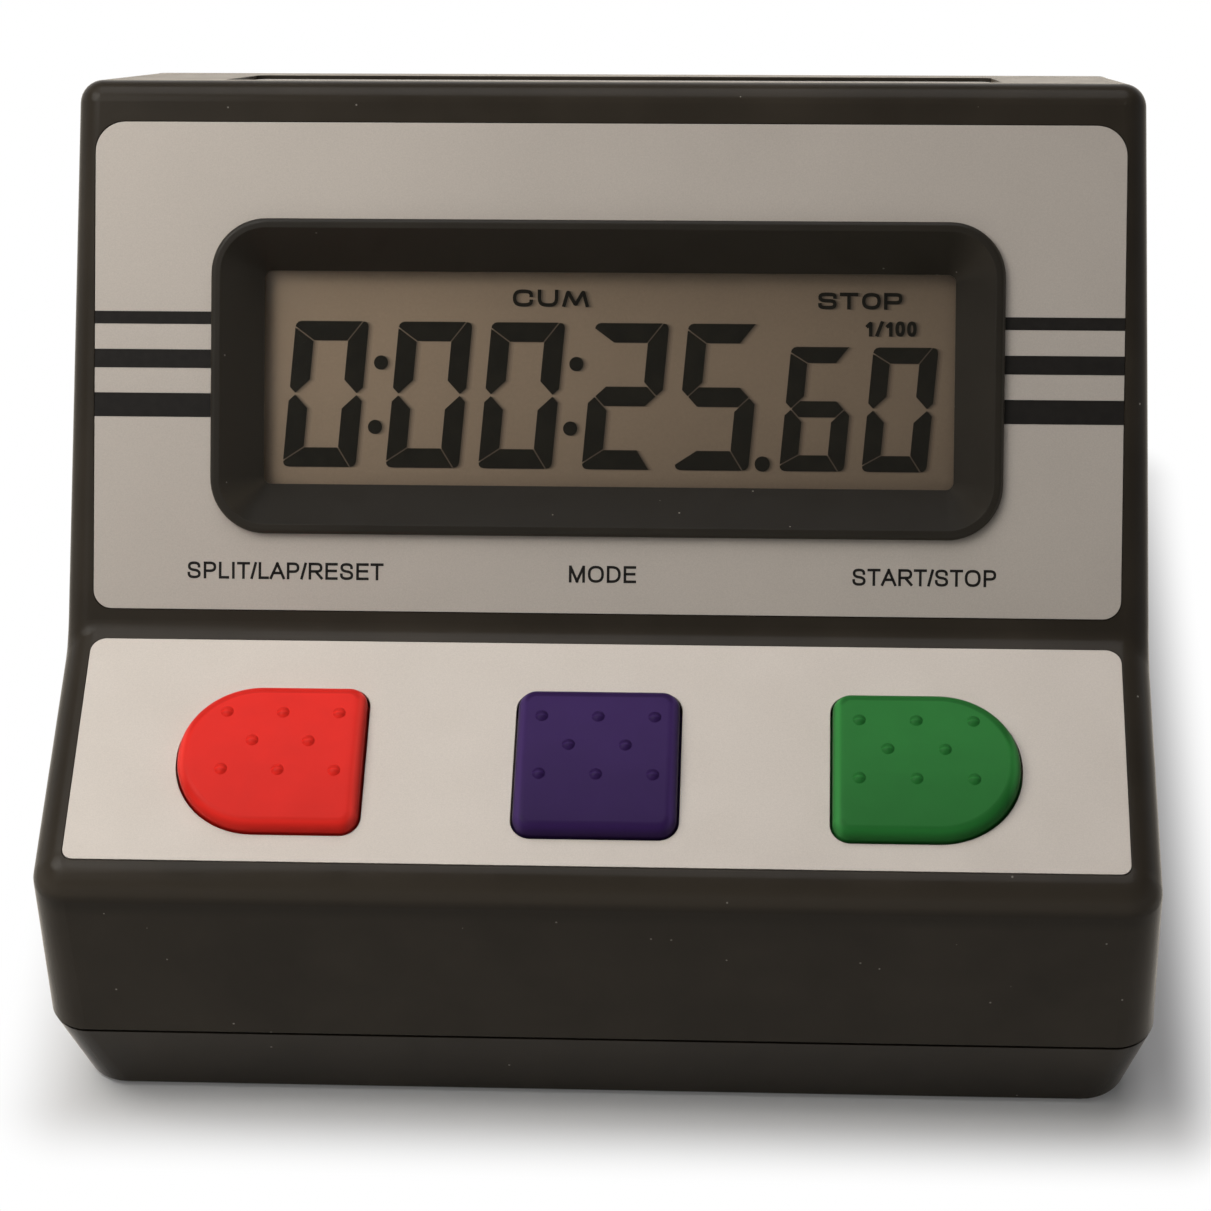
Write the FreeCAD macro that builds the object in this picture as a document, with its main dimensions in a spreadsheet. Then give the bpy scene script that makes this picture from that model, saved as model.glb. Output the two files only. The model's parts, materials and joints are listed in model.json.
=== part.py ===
import FreeCAD, Part
import Sketcher

import math
import os
import re

from FreeCAD import Placement, Rotation, Vector

# Benchtop timer: a wedge-shaped two-shell case with a sloping keypad panel and a steeper display panel.
# Frame: millimetres, +Z up, front towards -Y, origin on the resting plane below the middle of the case.

# Driving sizes
SIZES = {
    # case
    "case_width": 139.0,
    "case_depth": 127.0,
    "side_draft": 1.4,
    "wall": 2.4,
    "corner_radius": 5.0,
    "lip_radius": 4.2,
    "edge_radius": 3.0,
    "foot_proud": 1.0,
    "base_height": 12.7,
    "base_taper": 2.5,
    "base_corner_radius": 6.0,
    "floor_thickness": 2.4,
    "front_height": 25.4,
    "key_slope": 15.0,
    "key_length": 38.0,
    "display_slope": 50.4,
    "display_length": 69.2,
    "rear_slope": 32.0,
    "seam_width": 0.4,
    "seam_depth": 0.5,
    "tongue_height": 2.0,
    "tongue_thickness": 1.0,
    "fit_clearance": 0.3,
    "contact_gap": 0.1,
    # labels
    "label_inset": 4.5,
    "label_thickness": 0.5,
    "label_recess": 0.4,
    "key_label_length": 32.2,
    "key_label_margin": 4.1,
    "key_label_top_radius": 2.0,
    "key_label_bottom_radius": 1.3,
    "display_label_length": 61.8,
    "display_label_margin": 2.3,
    "display_label_top_radius": 3.8,
    "display_label_bottom_radius": 2.3,
    "rear_label_width": 99.3,
    "rear_label_length": 30.0,
    "rear_label_margin": 6.0,
    "rear_label_radius": 2.0,
    "rear_label_thickness": 0.3,
    "rear_recess": 0.8,
    # display bezel and window
    "bezel_width": 100.0,
    "bezel_height": 39.8,
    "bezel_radius": 7.0,
    "bezel_margin": 9.8,
    "bezel_proud": 1.0,
    "bezel_rim": 1.2,
    "bezel_lap": 1.0,
    "bezel_round": 0.6,
    "window_width": 88.0,
    "window_height": 27.2,
    "window_radius": 1.0,
    "window_depth": 4.6,
    "window_land": 0.6,
    "lens_lap": 2.2,
    "lens_thickness": 1.5,
    # liquid crystal display stack
    "lcd_width": 94.0,
    "lcd_height": 34.0,
    "lcd_ledge": 2.6,
    "glass_thickness": 1.1,
    "reflector_thickness": 0.2,
    "reflector_inset": 1.0,
    "holder_width": 104.0,
    "holder_height": 44.0,
    "zebra_length": 88.0,
    "zebra_thickness": 2.0,
    "board_thickness": 1.6,
    "main_board_depth": 13.0,
    "main_board_width": 120.0,
    "main_board_height": 56.0,
    "main_boss_spacing_x": 113.0,
    "main_boss_spacing_y": 44.0,
    # keypad
    "button_proud": 2.1,
    "button_crown": 0.5,
    "button_length": 20.5,
    "button_margin": 4.1,
    "side_button_width": 23.0,
    "button_end_margin": 13.05,
    "mode_button_width": 20.1,
    "button_corner": 2.3,
    "side_button_flat": 0.3,
    "button_round": 1.5,
    "button_clearance": 0.3,
    "button_flange": 1.2,
    "flange_thickness": 1.0,
    "dot_radius": 0.8,
    "dot_proud": 0.35,
    "dot_pitch_x": 7.0,
    "dot_pitch_y": 4.15,
    "dot_margin": 4.4,
    "dot_shift": 1.25,
    "stem_radius": 2.5,
    "dome_base_radius": 4.6,
    "dome_top_radius": 2.8,
    "dome_height": 3.2,
    "key_board_depth": 9.2,
    "key_board_inset": 9.0,
    "key_board_margin": 5.0,
    "key_boss_inset": 6.0,
    "key_boss_edge": 2.8,
    "key_boss_gap": 0.7,
    # fasteners and bosses
    "boss_radius": 2.6,
    "screw_radius": 1.0,
    "screw_length": 7.0,
    "screw_head_radius": 2.2,
    "screw_head_height": 1.5,
    "pilot_depth": 6.4,
    "case_boss_radius": 4.2,
    "case_boss_inset_x": 8.5,
    "case_boss_inset_y": 9.5,
    "case_screw_radius": 1.4,
    "case_screw_length": 14.0,
    "case_head_radius": 2.8,
    "case_head_height": 2.0,
    "case_head_sink": 4.0,
    # feet
    "foot_radius": 5.0,
    "foot_recess": 1.2,
    "foot_inset_x": 21.0,
    "foot_inset_y": 12.5,
    # battery compartment
    "cell_radius": 7.25,
    "cell_length": 49.2,
    "cell_nub_radius": 2.7,
    "cell_nub_length": 1.3,
    "cell_clearance": 0.5,
    "spring_length": 5.0,
    "spring_radius": 3.4,
    "contact_thickness": 0.4,
    "contact_width": 11.0,
    "contact_height": 11.0,
    "tab_rise": 3.0,
    "tab_width": 3.0,
    "tab_reach": 1.5,
    "bay_wall": 2.2,
    "bay_centre_y": 14.0,
    "door_thickness": 1.8,
    "door_lap": 1.6,
    "door_clearance": 0.3,
    "pivot_radius": 0.7,
    "pivot_length": 1.6,
    "pivot_clearance": 0.1,
    "latch_width": 10.0,
    "notch_radius": 5.0,
    "notch_depth": 0.8,
    # small components
    "chip_radius": 7.0,
    "chip_top_radius": 3.5,
    "chip_height": 2.0,
    "chip_offset": 18.0,
    "chip_drop": 6.0,
    "crystal_radius": 1.5,
    "crystal_length": 6.0,
    "crystal_offset": 34.0,
    "capacitor_radius": 2.5,
    "capacitor_height": 7.0,
    "capacitor_offset": 36.0,
    "capacitor_pitch": 12.0,
    "buzzer_radius": 7.0,
    "buzzer_height": 6.5,
    "buzzer_lift": 14.0,
    "ribbon_width": 12.0,
    "ribbon_thickness": 0.6,
    "header_width": 14.0,
    "header_height": 2.5,
    "header_depth": 4.0,
    "header_inset": 5.0,
    "ribbon_drop": 7.0,
    "lead_radius": 0.6,
    "lead_stub": 8.0,
    "lead_board_x": 28.0,
    "lead_spacing": 12.0,
}

doc = FreeCAD.newDocument("benchtop_timer")
sheet = doc.addObject("Spreadsheet::Sheet", "sizes")
for row, (alias, value) in enumerate(SIZES.items(), start=1):
    sheet.set("A%d" % row, alias)
    sheet.set("B%d" % row, str(value))
    sheet.setAlias("B%d" % row, alias)
doc.recompute()

PARTS = {}


# Expressions: plain text over the aliases above
def full(expression):
    """The expression with each alias named in the sheet."""
    return re.sub(r"[a-z_]+", lambda m: ("sizes." if m.group() in SIZES else "") + m.group(), str(expression))


def number(expression):
    """The present value of an expression."""
    value = sheet.evalExpression(full(expression))
    return float(getattr(value, "Value", value))


def bind(thing, name, expression):
    """Ties a property to the sheet."""
    thing.setExpression(name, full(expression))


def total(*terms):
    return "(" + " + ".join(str(term) for term in terms) + ")"


def less(first, *rest):
    return "(" + str(first) + "".join(" - (%s)" % term for term in rest) + ")"


# Frames: the flat, the keypad panel, the display panel and the rear slope
PARTING = "(foot_proud + base_height)"
FRONT_Y = "(-case_depth / 2)"
LIP_Z = total(PARTING, "front_height")
CREASE_Y = total(FRONT_Y, "key_length * cos(key_slope)")
CREASE_Z = total(LIP_Z, "key_length * sin(key_slope)")
CREST_Y = total(CREASE_Y, "display_length * cos(display_slope)")
CREST_Z = total(CREASE_Z, "display_length * sin(display_slope)")
FLAT = {"y": "0", "z": "0", "slope": "0"}
KEY = {"y": FRONT_Y, "z": LIP_Z, "slope": "key_slope"}
DISPLAY = {"y": CREASE_Y, "z": CREASE_Z, "slope": "display_slope"}
REAR = {"y": CREST_Y, "z": CREST_Z, "slope": "(-rear_slope)"}


def seat(thing, frame, at=("0", "0", "0"), prefix="Placement", turn=None):
    """Puts a thing at a point of a frame, whose X axis is the case's own."""
    x, y, z = at
    slope = frame["slope"]
    base = {
        "x": x,
        "y": "%s + (%s) * cos(%s) - (%s) * sin(%s)" % (frame["y"], y, slope, z, slope),
        "z": "%s + (%s) * sin(%s) + (%s) * cos(%s)" % (frame["z"], y, slope, z, slope),
    }
    point = Vector(*(number(base[axis]) for axis in "xyz"))
    rotation = Rotation(Vector(1, 0, 0), number(slope))
    setattr(thing, prefix, Placement(point, rotation.multiply(turn) if turn else rotation))
    for axis in "xyz":
        bind(thing, "%s.Base.%s" % (prefix, axis), base[axis])
    if turn is None and slope != "0":
        bind(thing, "%s.Rotation.Angle" % prefix, slope)


# Sketches
def datum(body, role):
    return next(item for item in body.Origin.OriginFeatures if item.Role == role)


def sketch(body, name, role="XY_Plane", frame=FLAT, lift="0"):
    """A sketch on an origin plane of its body, or, on XY, on a frame at a height over it."""
    drawing = body.newObject("Sketcher::SketchObject", name)
    drawing.AttachmentSupport = [(datum(body, role), "")]
    drawing.MapMode = "FlatFace"
    if role == "XY_Plane":
        seat(drawing, frame, ("0", "0", lift), prefix="AttachmentOffset")
    return drawing


def fix(drawing, kind, *arguments):
    """Adds a driving constraint whose last argument is an expression."""
    expression = arguments[-1]
    index = drawing.addConstraint(Sketcher.Constraint(kind, *arguments[:-1], number(expression)))
    bind(drawing, "Constraints[%d]" % index, expression)


def polygon(drawing, points):
    """A closed outline through points given as pairs of expressions."""
    corners = [Vector(number(x), number(y), 0) for x, y in points]
    first = drawing.GeometryCount
    count = len(corners)
    drawing.addGeometry([Part.LineSegment(corners[k], corners[(k + 1) % count]) for k in range(count)], False)
    for k in range(count):
        drawing.addConstraint(Sketcher.Constraint("Coincident", first + k, 2, first + (k + 1) % count, 1))
    for k, (x, y) in enumerate(points):
        fix(drawing, "DistanceX", -1, 1, first + k, 1, x)
        fix(drawing, "DistanceY", -1, 1, first + k, 1, y)


def rounded(drawing, x_low, x_high, y_low, y_high, radii):
    """A rectangle with round corners; radii go round from the low corner by way of high x."""
    x0, x1, y0, y1 = (number(edge) for edge in (x_low, x_high, y_low, y_high))
    size = [number(radius) for radius in radii]
    centres = [
        (x0 + size[0], y0 + size[0]),
        (x1 - size[1], y0 + size[1]),
        (x1 - size[2], y1 - size[2]),
        (x0 + size[3], y1 - size[3]),
    ]
    first = drawing.GeometryCount
    arcs = []
    for k, (x, y) in enumerate(centres):
        circle = Part.Circle(Vector(x, y, 0), Vector(0, 0, 1), size[k])
        start = math.pi + k * math.pi / 2
        arcs.append(Part.ArcOfCircle(circle, start, start + math.pi / 2))
    for k in range(4):
        drawing.addGeometry(arcs[k], False)
        drawing.addGeometry(Part.LineSegment(arcs[k].EndPoint, arcs[(k + 1) % 4].StartPoint), False)
    for k in range(8):
        drawing.addConstraint(Sketcher.Constraint("Tangent", first + k, 2, first + (k + 1) % 8, 1))
    for k, kind in ((1, "Horizontal"), (3, "Vertical"), (5, "Horizontal"), (7, "Vertical")):
        drawing.addConstraint(Sketcher.Constraint(kind, first + k))
    fix(drawing, "DistanceY", -1, 1, first + 1, 1, y_low)
    fix(drawing, "DistanceX", -1, 1, first + 3, 1, x_high)
    fix(drawing, "DistanceY", -1, 1, first + 5, 1, y_high)
    fix(drawing, "DistanceX", -1, 1, first + 7, 1, x_low)
    for k, radius in enumerate(radii):
        fix(drawing, "Radius", first + 2 * k, radius)


def rectangle(drawing, width, low, high, radius):
    """A round-cornered rectangle that is centred on X."""
    rounded(drawing, "-(%s) / 2" % width, "(%s) / 2" % width, low, high, [radius] * 4)


def arched(drawing, low, high, foot, radius, head):
    """A rectangle whose lower side is an arc that bulges upwards."""
    x0, x1, y0, y1, size = (number(value) for value in (low, high, foot, head, radius))
    centre = Vector((x0 + x1) / 2, y0 - math.sqrt(size**2 - ((x1 - x0) / 2) ** 2), 0)
    swing = math.asin((x1 - x0) / 2 / size)
    circle = Part.Circle(centre, Vector(0, 0, 1), size)
    arc = Part.ArcOfCircle(circle, math.pi / 2 - swing, math.pi / 2 + swing)
    corners = [arc.EndPoint, Vector(x0, y1, 0), Vector(x1, y1, 0), arc.StartPoint]
    drawing.addGeometry(arc, False)
    drawing.addGeometry([Part.LineSegment(corners[k], corners[k + 1]) for k in range(3)], False)
    for first, first_end, second, second_end in ((0, 2, 1, 1), (1, 2, 2, 1), (2, 2, 3, 1), (3, 2, 0, 1)):
        drawing.addConstraint(Sketcher.Constraint("Coincident", first, first_end, second, second_end))
    for place, x, y in ((1, low, foot), (2, low, head), (3, high, head)):
        fix(drawing, "DistanceX", -1, 1, place, 1, x)
        fix(drawing, "DistanceY", -1, 1, place, 1, y)
    fix(drawing, "DistanceX", -1, 1, 3, 2, high)
    fix(drawing, "DistanceY", -1, 1, 3, 2, foot)
    fix(drawing, "Radius", 0, radius)


def circle(drawing, x, y, radius):
    index = drawing.addGeometry(
        Part.Circle(Vector(number(x), number(y), 0), Vector(0, 0, 1), number(radius)), False
    )
    fix(drawing, "DistanceX", -1, 1, index, 3, x)
    fix(drawing, "DistanceY", -1, 1, index, 3, y)
    fix(drawing, "Radius", index, radius)


# Features
def new_body(label, frame=None):
    body = doc.addObject("PartDesign::Body", label)
    body.Label = label
    if frame is not None:
        seat(body, frame)
    return body


def pad(body, name, drawing, length, taper=None):
    feature = body.newObject("PartDesign::Pad", name)
    feature.Profile = drawing
    bind(feature, "Length", length)
    if taper is not None:
        bind(feature, "TaperAngle", taper)
    doc.recompute()
    return feature


def pocket(body, name, drawing, length=None, up=False, midplane=False):
    """Cuts a sketch into its body; the volume must shrink."""
    before = body.Shape.Volume
    feature = body.newObject("PartDesign::Pocket", name)
    feature.Profile = drawing
    feature.Midplane = midplane
    feature.Reversed = up
    if length is None:
        feature.Type = 1
    else:
        bind(feature, "Length", length)
    doc.recompute()
    if not body.Shape.Volume < before:
        raise RuntimeError("%s cuts nothing" % name)
    return feature


def loft(body, name, drawings, cut=False):
    kind = "PartDesign::SubtractiveLoft" if cut else "PartDesign::AdditiveLoft"
    feature = body.newObject(kind, name)
    feature.Profile = drawings[0]
    feature.Sections = drawings[1:]
    feature.Ruled = True
    doc.recompute()
    return feature


def edges(feature, test):
    return ["Edge%d" % (k + 1) for k, edge in enumerate(feature.Shape.Edges) if test(edge)]


def faces(feature, test):
    return ["Face%d" % (k + 1) for k, face in enumerate(feature.Shape.Faces) if test(face)]


def fillet(body, name, base, radius, test):
    feature = body.newObject("PartDesign::Fillet", name)
    feature.Base = (base, edges(base, test))
    bind(feature, "Radius", radius)
    doc.recompute()
    return feature


def near(a, b, slack=1e-4):
    return abs(a - b) < slack


def ends(edge):
    return [vertex.Point for vertex in edge.Vertexes]


def at_height(expression):
    """A test for the edges of a body that lie at a height of its own."""
    height = number(expression)
    return lambda edge: all(near(end.z, height) for end in ends(edge))


def from_height(expression):
    """A test for the edges of a body that lie at or over a height of its own."""
    height = number(expression)
    return lambda edge: all(end.z > height or near(end.z, height) for end in ends(edge))


# Part primitives
def box(label, frame, low, size):
    """A block whose low corner and size are expressions in a frame."""
    thing = doc.addObject("Part::Box", label)
    thing.Label = label
    seat(thing, frame, low)
    for name, expression in zip(("Length", "Width", "Height"), size):
        bind(thing, name, expression)
    return thing


def cylinder(label, frame, at, radius, height, turn=None):
    thing = doc.addObject("Part::Cylinder", label)
    thing.Label = label
    seat(thing, frame, at, turn=turn)
    bind(thing, "Radius", radius)
    bind(thing, "Height", height)
    return thing


def cone(label, frame, at, low_radius, high_radius, height, turn=None):
    thing = doc.addObject("Part::Cone", label)
    thing.Label = label
    seat(thing, frame, at, turn=turn)
    bind(thing, "Radius1", low_radius)
    bind(thing, "Radius2", high_radius)
    bind(thing, "Height", height)
    return thing


def fuse(label, things):
    joined = doc.addObject("Part::MultiFuse", label)
    joined.Label = label
    joined.Shapes = things
    return joined


def cut(label, base, tool):
    result = doc.addObject("Part::Cut", label)
    result.Label = label
    result.Base = base
    result.Tool = tool
    return result


def group(label, things):
    """Separate solids in one node."""
    compound = doc.addObject("Part::Compound", label)
    compound.Label = label
    compound.Links = things
    return compound


def keep(thing):
    PARTS[thing.Label] = thing
    return thing


# Wedge: drafted sides, cut off above by the keypad panel, the display panel and the rear slope
OVERSHOOT = "20"
SLOT_OVERLAP = "0.1"


def wedge(body, inset, radius):
    plan = sketch(body, body.Label + "_plan", lift=PARTING)
    side = "(case_width / 2 - %s)" % inset
    end = "(case_depth / 2 - %s)" % inset
    rounded(plan, "-" + side, side, "-" + end, end, [radius] * 4)
    pad(body, body.Label + "_block", plan, total(CREST_Z, OVERSHOOT), taper="-side_draft")
    crease_turn = "(1 + cos(display_slope - key_slope))"
    crest_turn = "(1 + cos(display_slope + rear_slope))"
    crease_y = "(%s + %s * (sin(key_slope) + sin(display_slope)) / %s)" % (CREASE_Y, inset, crease_turn)
    crease_z = "(%s - %s * (cos(key_slope) + cos(display_slope)) / %s)" % (CREASE_Z, inset, crease_turn)
    crest_y = "(%s + %s * (sin(display_slope) - sin(rear_slope)) / %s)" % (CREST_Y, inset, crest_turn)
    crest_z = "(%s - %s * (cos(display_slope) + cos(rear_slope)) / %s)" % (CREST_Z, inset, crest_turn)
    front_y = less(FRONT_Y, OVERSHOOT)
    front_z = "(%s - (%s - %s) * tan(key_slope))" % (crease_z, crease_y, front_y)
    rear_y = total("case_depth / 2", OVERSHOOT)
    rear_z = "(%s - (%s - %s) * tan(rear_slope))" % (crest_z, rear_y, crest_y)
    above_z = total(CREST_Z, OVERSHOOT, OVERSHOOT)
    outline = sketch(body, body.Label + "_outline", role="YZ_Plane")
    polygon(
        outline,
        [
            (front_y, front_z),
            (crease_y, crease_z),
            (crest_y, crest_z),
            (rear_y, rear_z),
            (rear_y, above_z),
            (front_y, above_z),
        ],
    )
    return pocket(body, body.Label + "_slopes", outline, midplane=True)


def height_over(frame, point):
    """How far a point stands over a frame's plane."""
    slope = math.radians(number(frame["slope"]))
    return (point.z - number(frame["z"])) * math.cos(slope) - (point.y - number(frame["y"])) * math.sin(slope)


def on_plane(frame, edge):
    return all(near(height_over(frame, point), 0) for point in ends(edge))


def key_rim(edge):
    """An edge round the keypad panel, but not the hollow crease behind it."""
    return on_plane(KEY, edge) and not on_plane(DISPLAY, edge)


def top_rim(edge):
    """An edge round the display panel or the rear slope, but not the hollow crease."""
    return any(on_plane(frame, edge) for frame in (DISPLAY, REAR)) and not on_plane(KEY, edge)


# Upper case
upper_case = new_body("upper_case")
rounding = wedge(upper_case, "0", "corner_radius")
RIMS = [("upper_case_rim", "edge_radius", top_rim), ("upper_case_lip", "lip_radius", key_rim)]
for name, radius, test in sorted(RIMS, key=lambda rim: -number(rim[1])):
    rounding = fillet(upper_case, name, rounding, radius, test)
cavity = new_body("cavity")
wedge(cavity, "wall", less("corner_radius", "wall"))
hollow = upper_case.newObject("PartDesign::Boolean", "upper_case_hollow")
hollow.Type = 1
hollow.setObjects([cavity])
doc.recompute()


# Outlines shared by the openings, the labels and the pieces that fill them
BEZEL_LOW = total("display_label_margin", "bezel_margin")
BEZEL_HIGH = total(BEZEL_LOW, "bezel_height")
BEZEL_MID = total(BEZEL_LOW, "bezel_height / 2")
LABEL_HALF = "(case_width / 2 - label_inset)"
BUTTON_LOW = total("key_label_margin", "button_margin")
BUTTON_MID = total(BUTTON_LOW, "button_length / 2")
BUTTON_HIGH = total(BUTTON_LOW, "button_length")
SIDE_BUTTON_X = less(LABEL_HALF, "button_end_margin", "side_button_width / 2")
SIDE_ROUND = "((button_length - side_button_flat) / 2)"
BUTTONS = {
    "reset_button": {
        "x": "(-%s)" % SIDE_BUTTON_X,
        "width": "side_button_width",
        "radii": [SIDE_ROUND, "button_corner", "button_corner", SIDE_ROUND],
        "dots": less("dot_shift", SIDE_BUTTON_X),
    },
    "mode_button": {
        "x": "0",
        "width": "mode_button_width",
        "radii": ["button_corner"] * 4,
        "dots": "0",
    },
    "start_button": {
        "x": SIDE_BUTTON_X,
        "width": "side_button_width",
        "radii": ["button_corner", SIDE_ROUND, SIDE_ROUND, "button_corner"],
        "dots": less(SIDE_BUTTON_X, "dot_shift"),
    },
}


def bezel_outline(drawing, inset):
    width = "(bezel_width - 2 * (%s))" % inset
    rectangle(drawing, width, total(BEZEL_LOW, inset), less(BEZEL_HIGH, inset), less("bezel_radius", inset))


def window_outline(drawing, grow, radius="window_radius"):
    half = "(window_height / 2 + %s)" % grow
    width = "(window_width + 2 * (%s))" % grow
    rectangle(drawing, width, less(BEZEL_MID, half), total(BEZEL_MID, half), radius)


def button_outline(drawing, name, grow):
    shape = BUTTONS[name]
    half = "((%s) / 2 + %s)" % (shape["width"], grow)
    radii = [total(radius, grow) for radius in shape["radii"]]
    rounded(
        drawing,
        less(shape["x"], half),
        total(shape["x"], half),
        less(BUTTON_LOW, grow),
        total(BUTTON_HIGH, grow),
        radii,
    )


def label_outline(drawing, low, length, top_radius, bottom_radius, inset):
    half = less(LABEL_HALF, inset)
    radii = [bottom_radius, bottom_radius, top_radius, top_radius]
    rounded(drawing, "-" + half, half, total(low, inset), less(total(low, length), inset), radii)


def rear_outline(drawing, inset):
    width = "(rear_label_width - 2 * (%s))" % inset
    low = total("rear_label_margin", inset)
    high = total("rear_label_margin", "rear_label_length", "-" + inset)
    rectangle(drawing, width, low, high, less("rear_label_radius", inset))


KEY_LABEL = ("key_label_margin", "key_label_length", "key_label_top_radius", "key_label_bottom_radius")
DISPLAY_LABEL = (
    "display_label_margin",
    "display_label_length",
    "display_label_top_radius",
    "display_label_bottom_radius",
)
KEY_BOARD_HALF = less(LABEL_HALF, "key_board_inset")
KEY_BOSS_OUTER_X = less(KEY_BOARD_HALF, "key_boss_inset")
KEY_BOSS_OUTER_Y = total(BUTTON_HIGH, "button_flange", "key_boss_gap", "boss_radius")
KEY_BOSS_INNER_X = "((%s - side_button_width / 2 + mode_button_width / 2) / 2)" % SIDE_BUTTON_X
KEY_BOARD_END = total(KEY_BOSS_OUTER_Y, "key_boss_edge")
KEY_BOSSES = [
    ("-" + KEY_BOSS_OUTER_X, KEY_BOSS_OUTER_Y),
    ("-" + KEY_BOSS_INNER_X, BUTTON_MID),
    (KEY_BOSS_INNER_X, BUTTON_MID),
    (KEY_BOSS_OUTER_X, KEY_BOSS_OUTER_Y),
]
MAIN_BOSSES = [
    ("%s * main_boss_spacing_x / 2" % side, "%s + %s * main_boss_spacing_y / 2" % (BEZEL_MID, end))
    for side in (-1, 1)
    for end in (-1, 1)
]
CASE_BOSS_X = "(case_width / 2 - case_boss_inset_x)"
CASE_BOSS_Y = "(case_depth / 2 - case_boss_inset_y)"


# Recesses and openings of the upper case
def case_pocket(name, frame, draw, length):
    """Cuts an outline into a panel, from its outer face inwards."""
    outline = sketch(upper_case, name + "_outline", frame=frame)
    draw(outline)
    pocket(upper_case, name, outline, length)


THROUGH = "2 * wall"
case_pocket("key_recess", KEY, lambda o: label_outline(o, *KEY_LABEL, "0"), "label_recess")
case_pocket("display_recess", DISPLAY, lambda o: label_outline(o, *DISPLAY_LABEL, "0"), "label_recess")
case_pocket("rear_recess_cut", REAR, lambda o: rear_outline(o, "0"), "rear_recess")
case_pocket("bezel_opening", DISPLAY, lambda o: bezel_outline(o, "bezel_lap"), THROUGH)
for button in BUTTONS:
    case_pocket(button + "_opening", KEY, lambda o: button_outline(o, button, "button_clearance"), THROUGH)


# Bosses of the upper case
def panel_bosses(name, frame, depth, places):
    """Posts that stand on a panel's inner face, each with a pilot hole."""
    posts = sketch(upper_case, name + "_posts", frame=frame, lift="-" + depth)
    for x, y in places:
        circle(posts, x, y, "boss_radius")
    pad(upper_case, name, posts, less(depth, "wall / 2"))
    pilots = sketch(upper_case, name + "_pilots", frame=frame, lift="-" + depth)
    for x, y in places:
        circle(pilots, x, y, total("screw_radius", "contact_gap"))
    pocket(upper_case, name + "_holes", pilots, "pilot_depth", up=True)


panel_bosses("key_bosses", KEY, "key_board_depth", KEY_BOSSES)
panel_bosses("main_bosses", DISPLAY, "main_board_depth", MAIN_BOSSES)


def inner_face(frame):
    """The face of the hollow that lies a wall below a frame's plane."""
    depth = number("wall")

    def test(face):
        return all(near(height_over(frame, vertex.Point), -depth) for vertex in face.Vertexes)

    return faces(upper_case.Tip, test)[0]


def case_bosses(name, frame, y):
    """A pair of posts from the parting plane up to the slope above them."""
    posts = sketch(upper_case, name + "_posts", lift=PARTING)
    for x in ("-" + CASE_BOSS_X, CASE_BOSS_X):
        circle(posts, x, y, "case_boss_radius")
    ceiling = (upper_case.Tip, [inner_face(frame)])
    feature = upper_case.newObject("PartDesign::Pad", name)
    feature.Profile = posts
    feature.Type = "UpToFace"
    feature.UpToFace = ceiling
    doc.recompute()
    pilots = sketch(upper_case, name + "_pilots", lift=PARTING)
    for x in ("-" + CASE_BOSS_X, CASE_BOSS_X):
        circle(pilots, x, y, total("case_screw_radius", "contact_gap"))
    pocket(upper_case, name + "_holes", pilots, "case_screw_length", up=True)


case_bosses("front_bosses", KEY, "-" + CASE_BOSS_Y)
case_bosses("rear_bosses", REAR, CASE_BOSS_Y)
keep(upper_case)

# Lower case
FLOOR_TOP = total("foot_proud", "floor_thickness")
BAY_LENGTH = total("cell_length", "cell_nub_length", "spring_length", "2 * contact_thickness")
BAY_WIDTH = total("4 * cell_radius", "3 * cell_clearance")
BAY_LOW_Y = less("bay_centre_y", BAY_WIDTH + " / 2")
BAY_HIGH_Y = total("bay_centre_y", BAY_WIDTH + " / 2")
DOOR_TOP = total("foot_proud", "door_thickness")
CELL_Z = total(DOOR_TOP, "cell_clearance", "cell_radius")
BAY_TOP = total(CELL_Z, "cell_radius", "cell_clearance")
REBATE_X = total(BAY_LENGTH + " / 2", "door_lap")
PIVOT_X = "(-(%s) + door_clearance + door_thickness / 2)" % REBATE_X
PIVOT_Z = total("foot_proud", "door_thickness / 2")
RIM_INSET = total("wall", "fit_clearance", "tongue_thickness")


def plan_outline(body, name, lift, inset, radius):
    """A level, round-cornered outline at an inset from the case's widest outline."""
    drawing = sketch(body, name, lift=lift)
    side = "(case_width / 2 - (%s))" % inset
    end = "(case_depth / 2 - (%s))" % inset
    rounded(drawing, "-" + side, side, "-" + end, end, [radius] * 4)
    return drawing


def span(drawing, x_low, x_high, y_low, y_high):
    polygon(drawing, [(x_low, y_low), (x_high, y_low), (x_high, y_high), (x_low, y_high)])


lower_case = new_body("lower_case")
base_low = plan_outline(lower_case, "base_low", "foot_proud", "base_taper", "base_corner_radius")
base_high = plan_outline(lower_case, "base_high", PARTING, "0", "corner_radius")
loft(lower_case, "tray", [base_low, base_high])
hollow_low = plan_outline(
    lower_case, "hollow_low", FLOOR_TOP, "base_taper + wall", less("base_corner_radius", "wall")
)
hollow_high = plan_outline(lower_case, "hollow_high", PARTING, RIM_INSET, "fit_clearance + tongue_thickness")
loft(lower_case, "tray_hollow", [hollow_low, hollow_high], cut=True)


def ring(name, lift, outer_inset, inner_inset, outer_radius, inner_radius):
    drawing = plan_outline(lower_case, name, lift, outer_inset, outer_radius)
    side = "(case_width / 2 - (%s))" % inner_inset
    end = "(case_depth / 2 - (%s))" % inner_inset
    rounded(drawing, "-" + side, side, "-" + end, end, [inner_radius] * 4)
    return drawing


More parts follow.
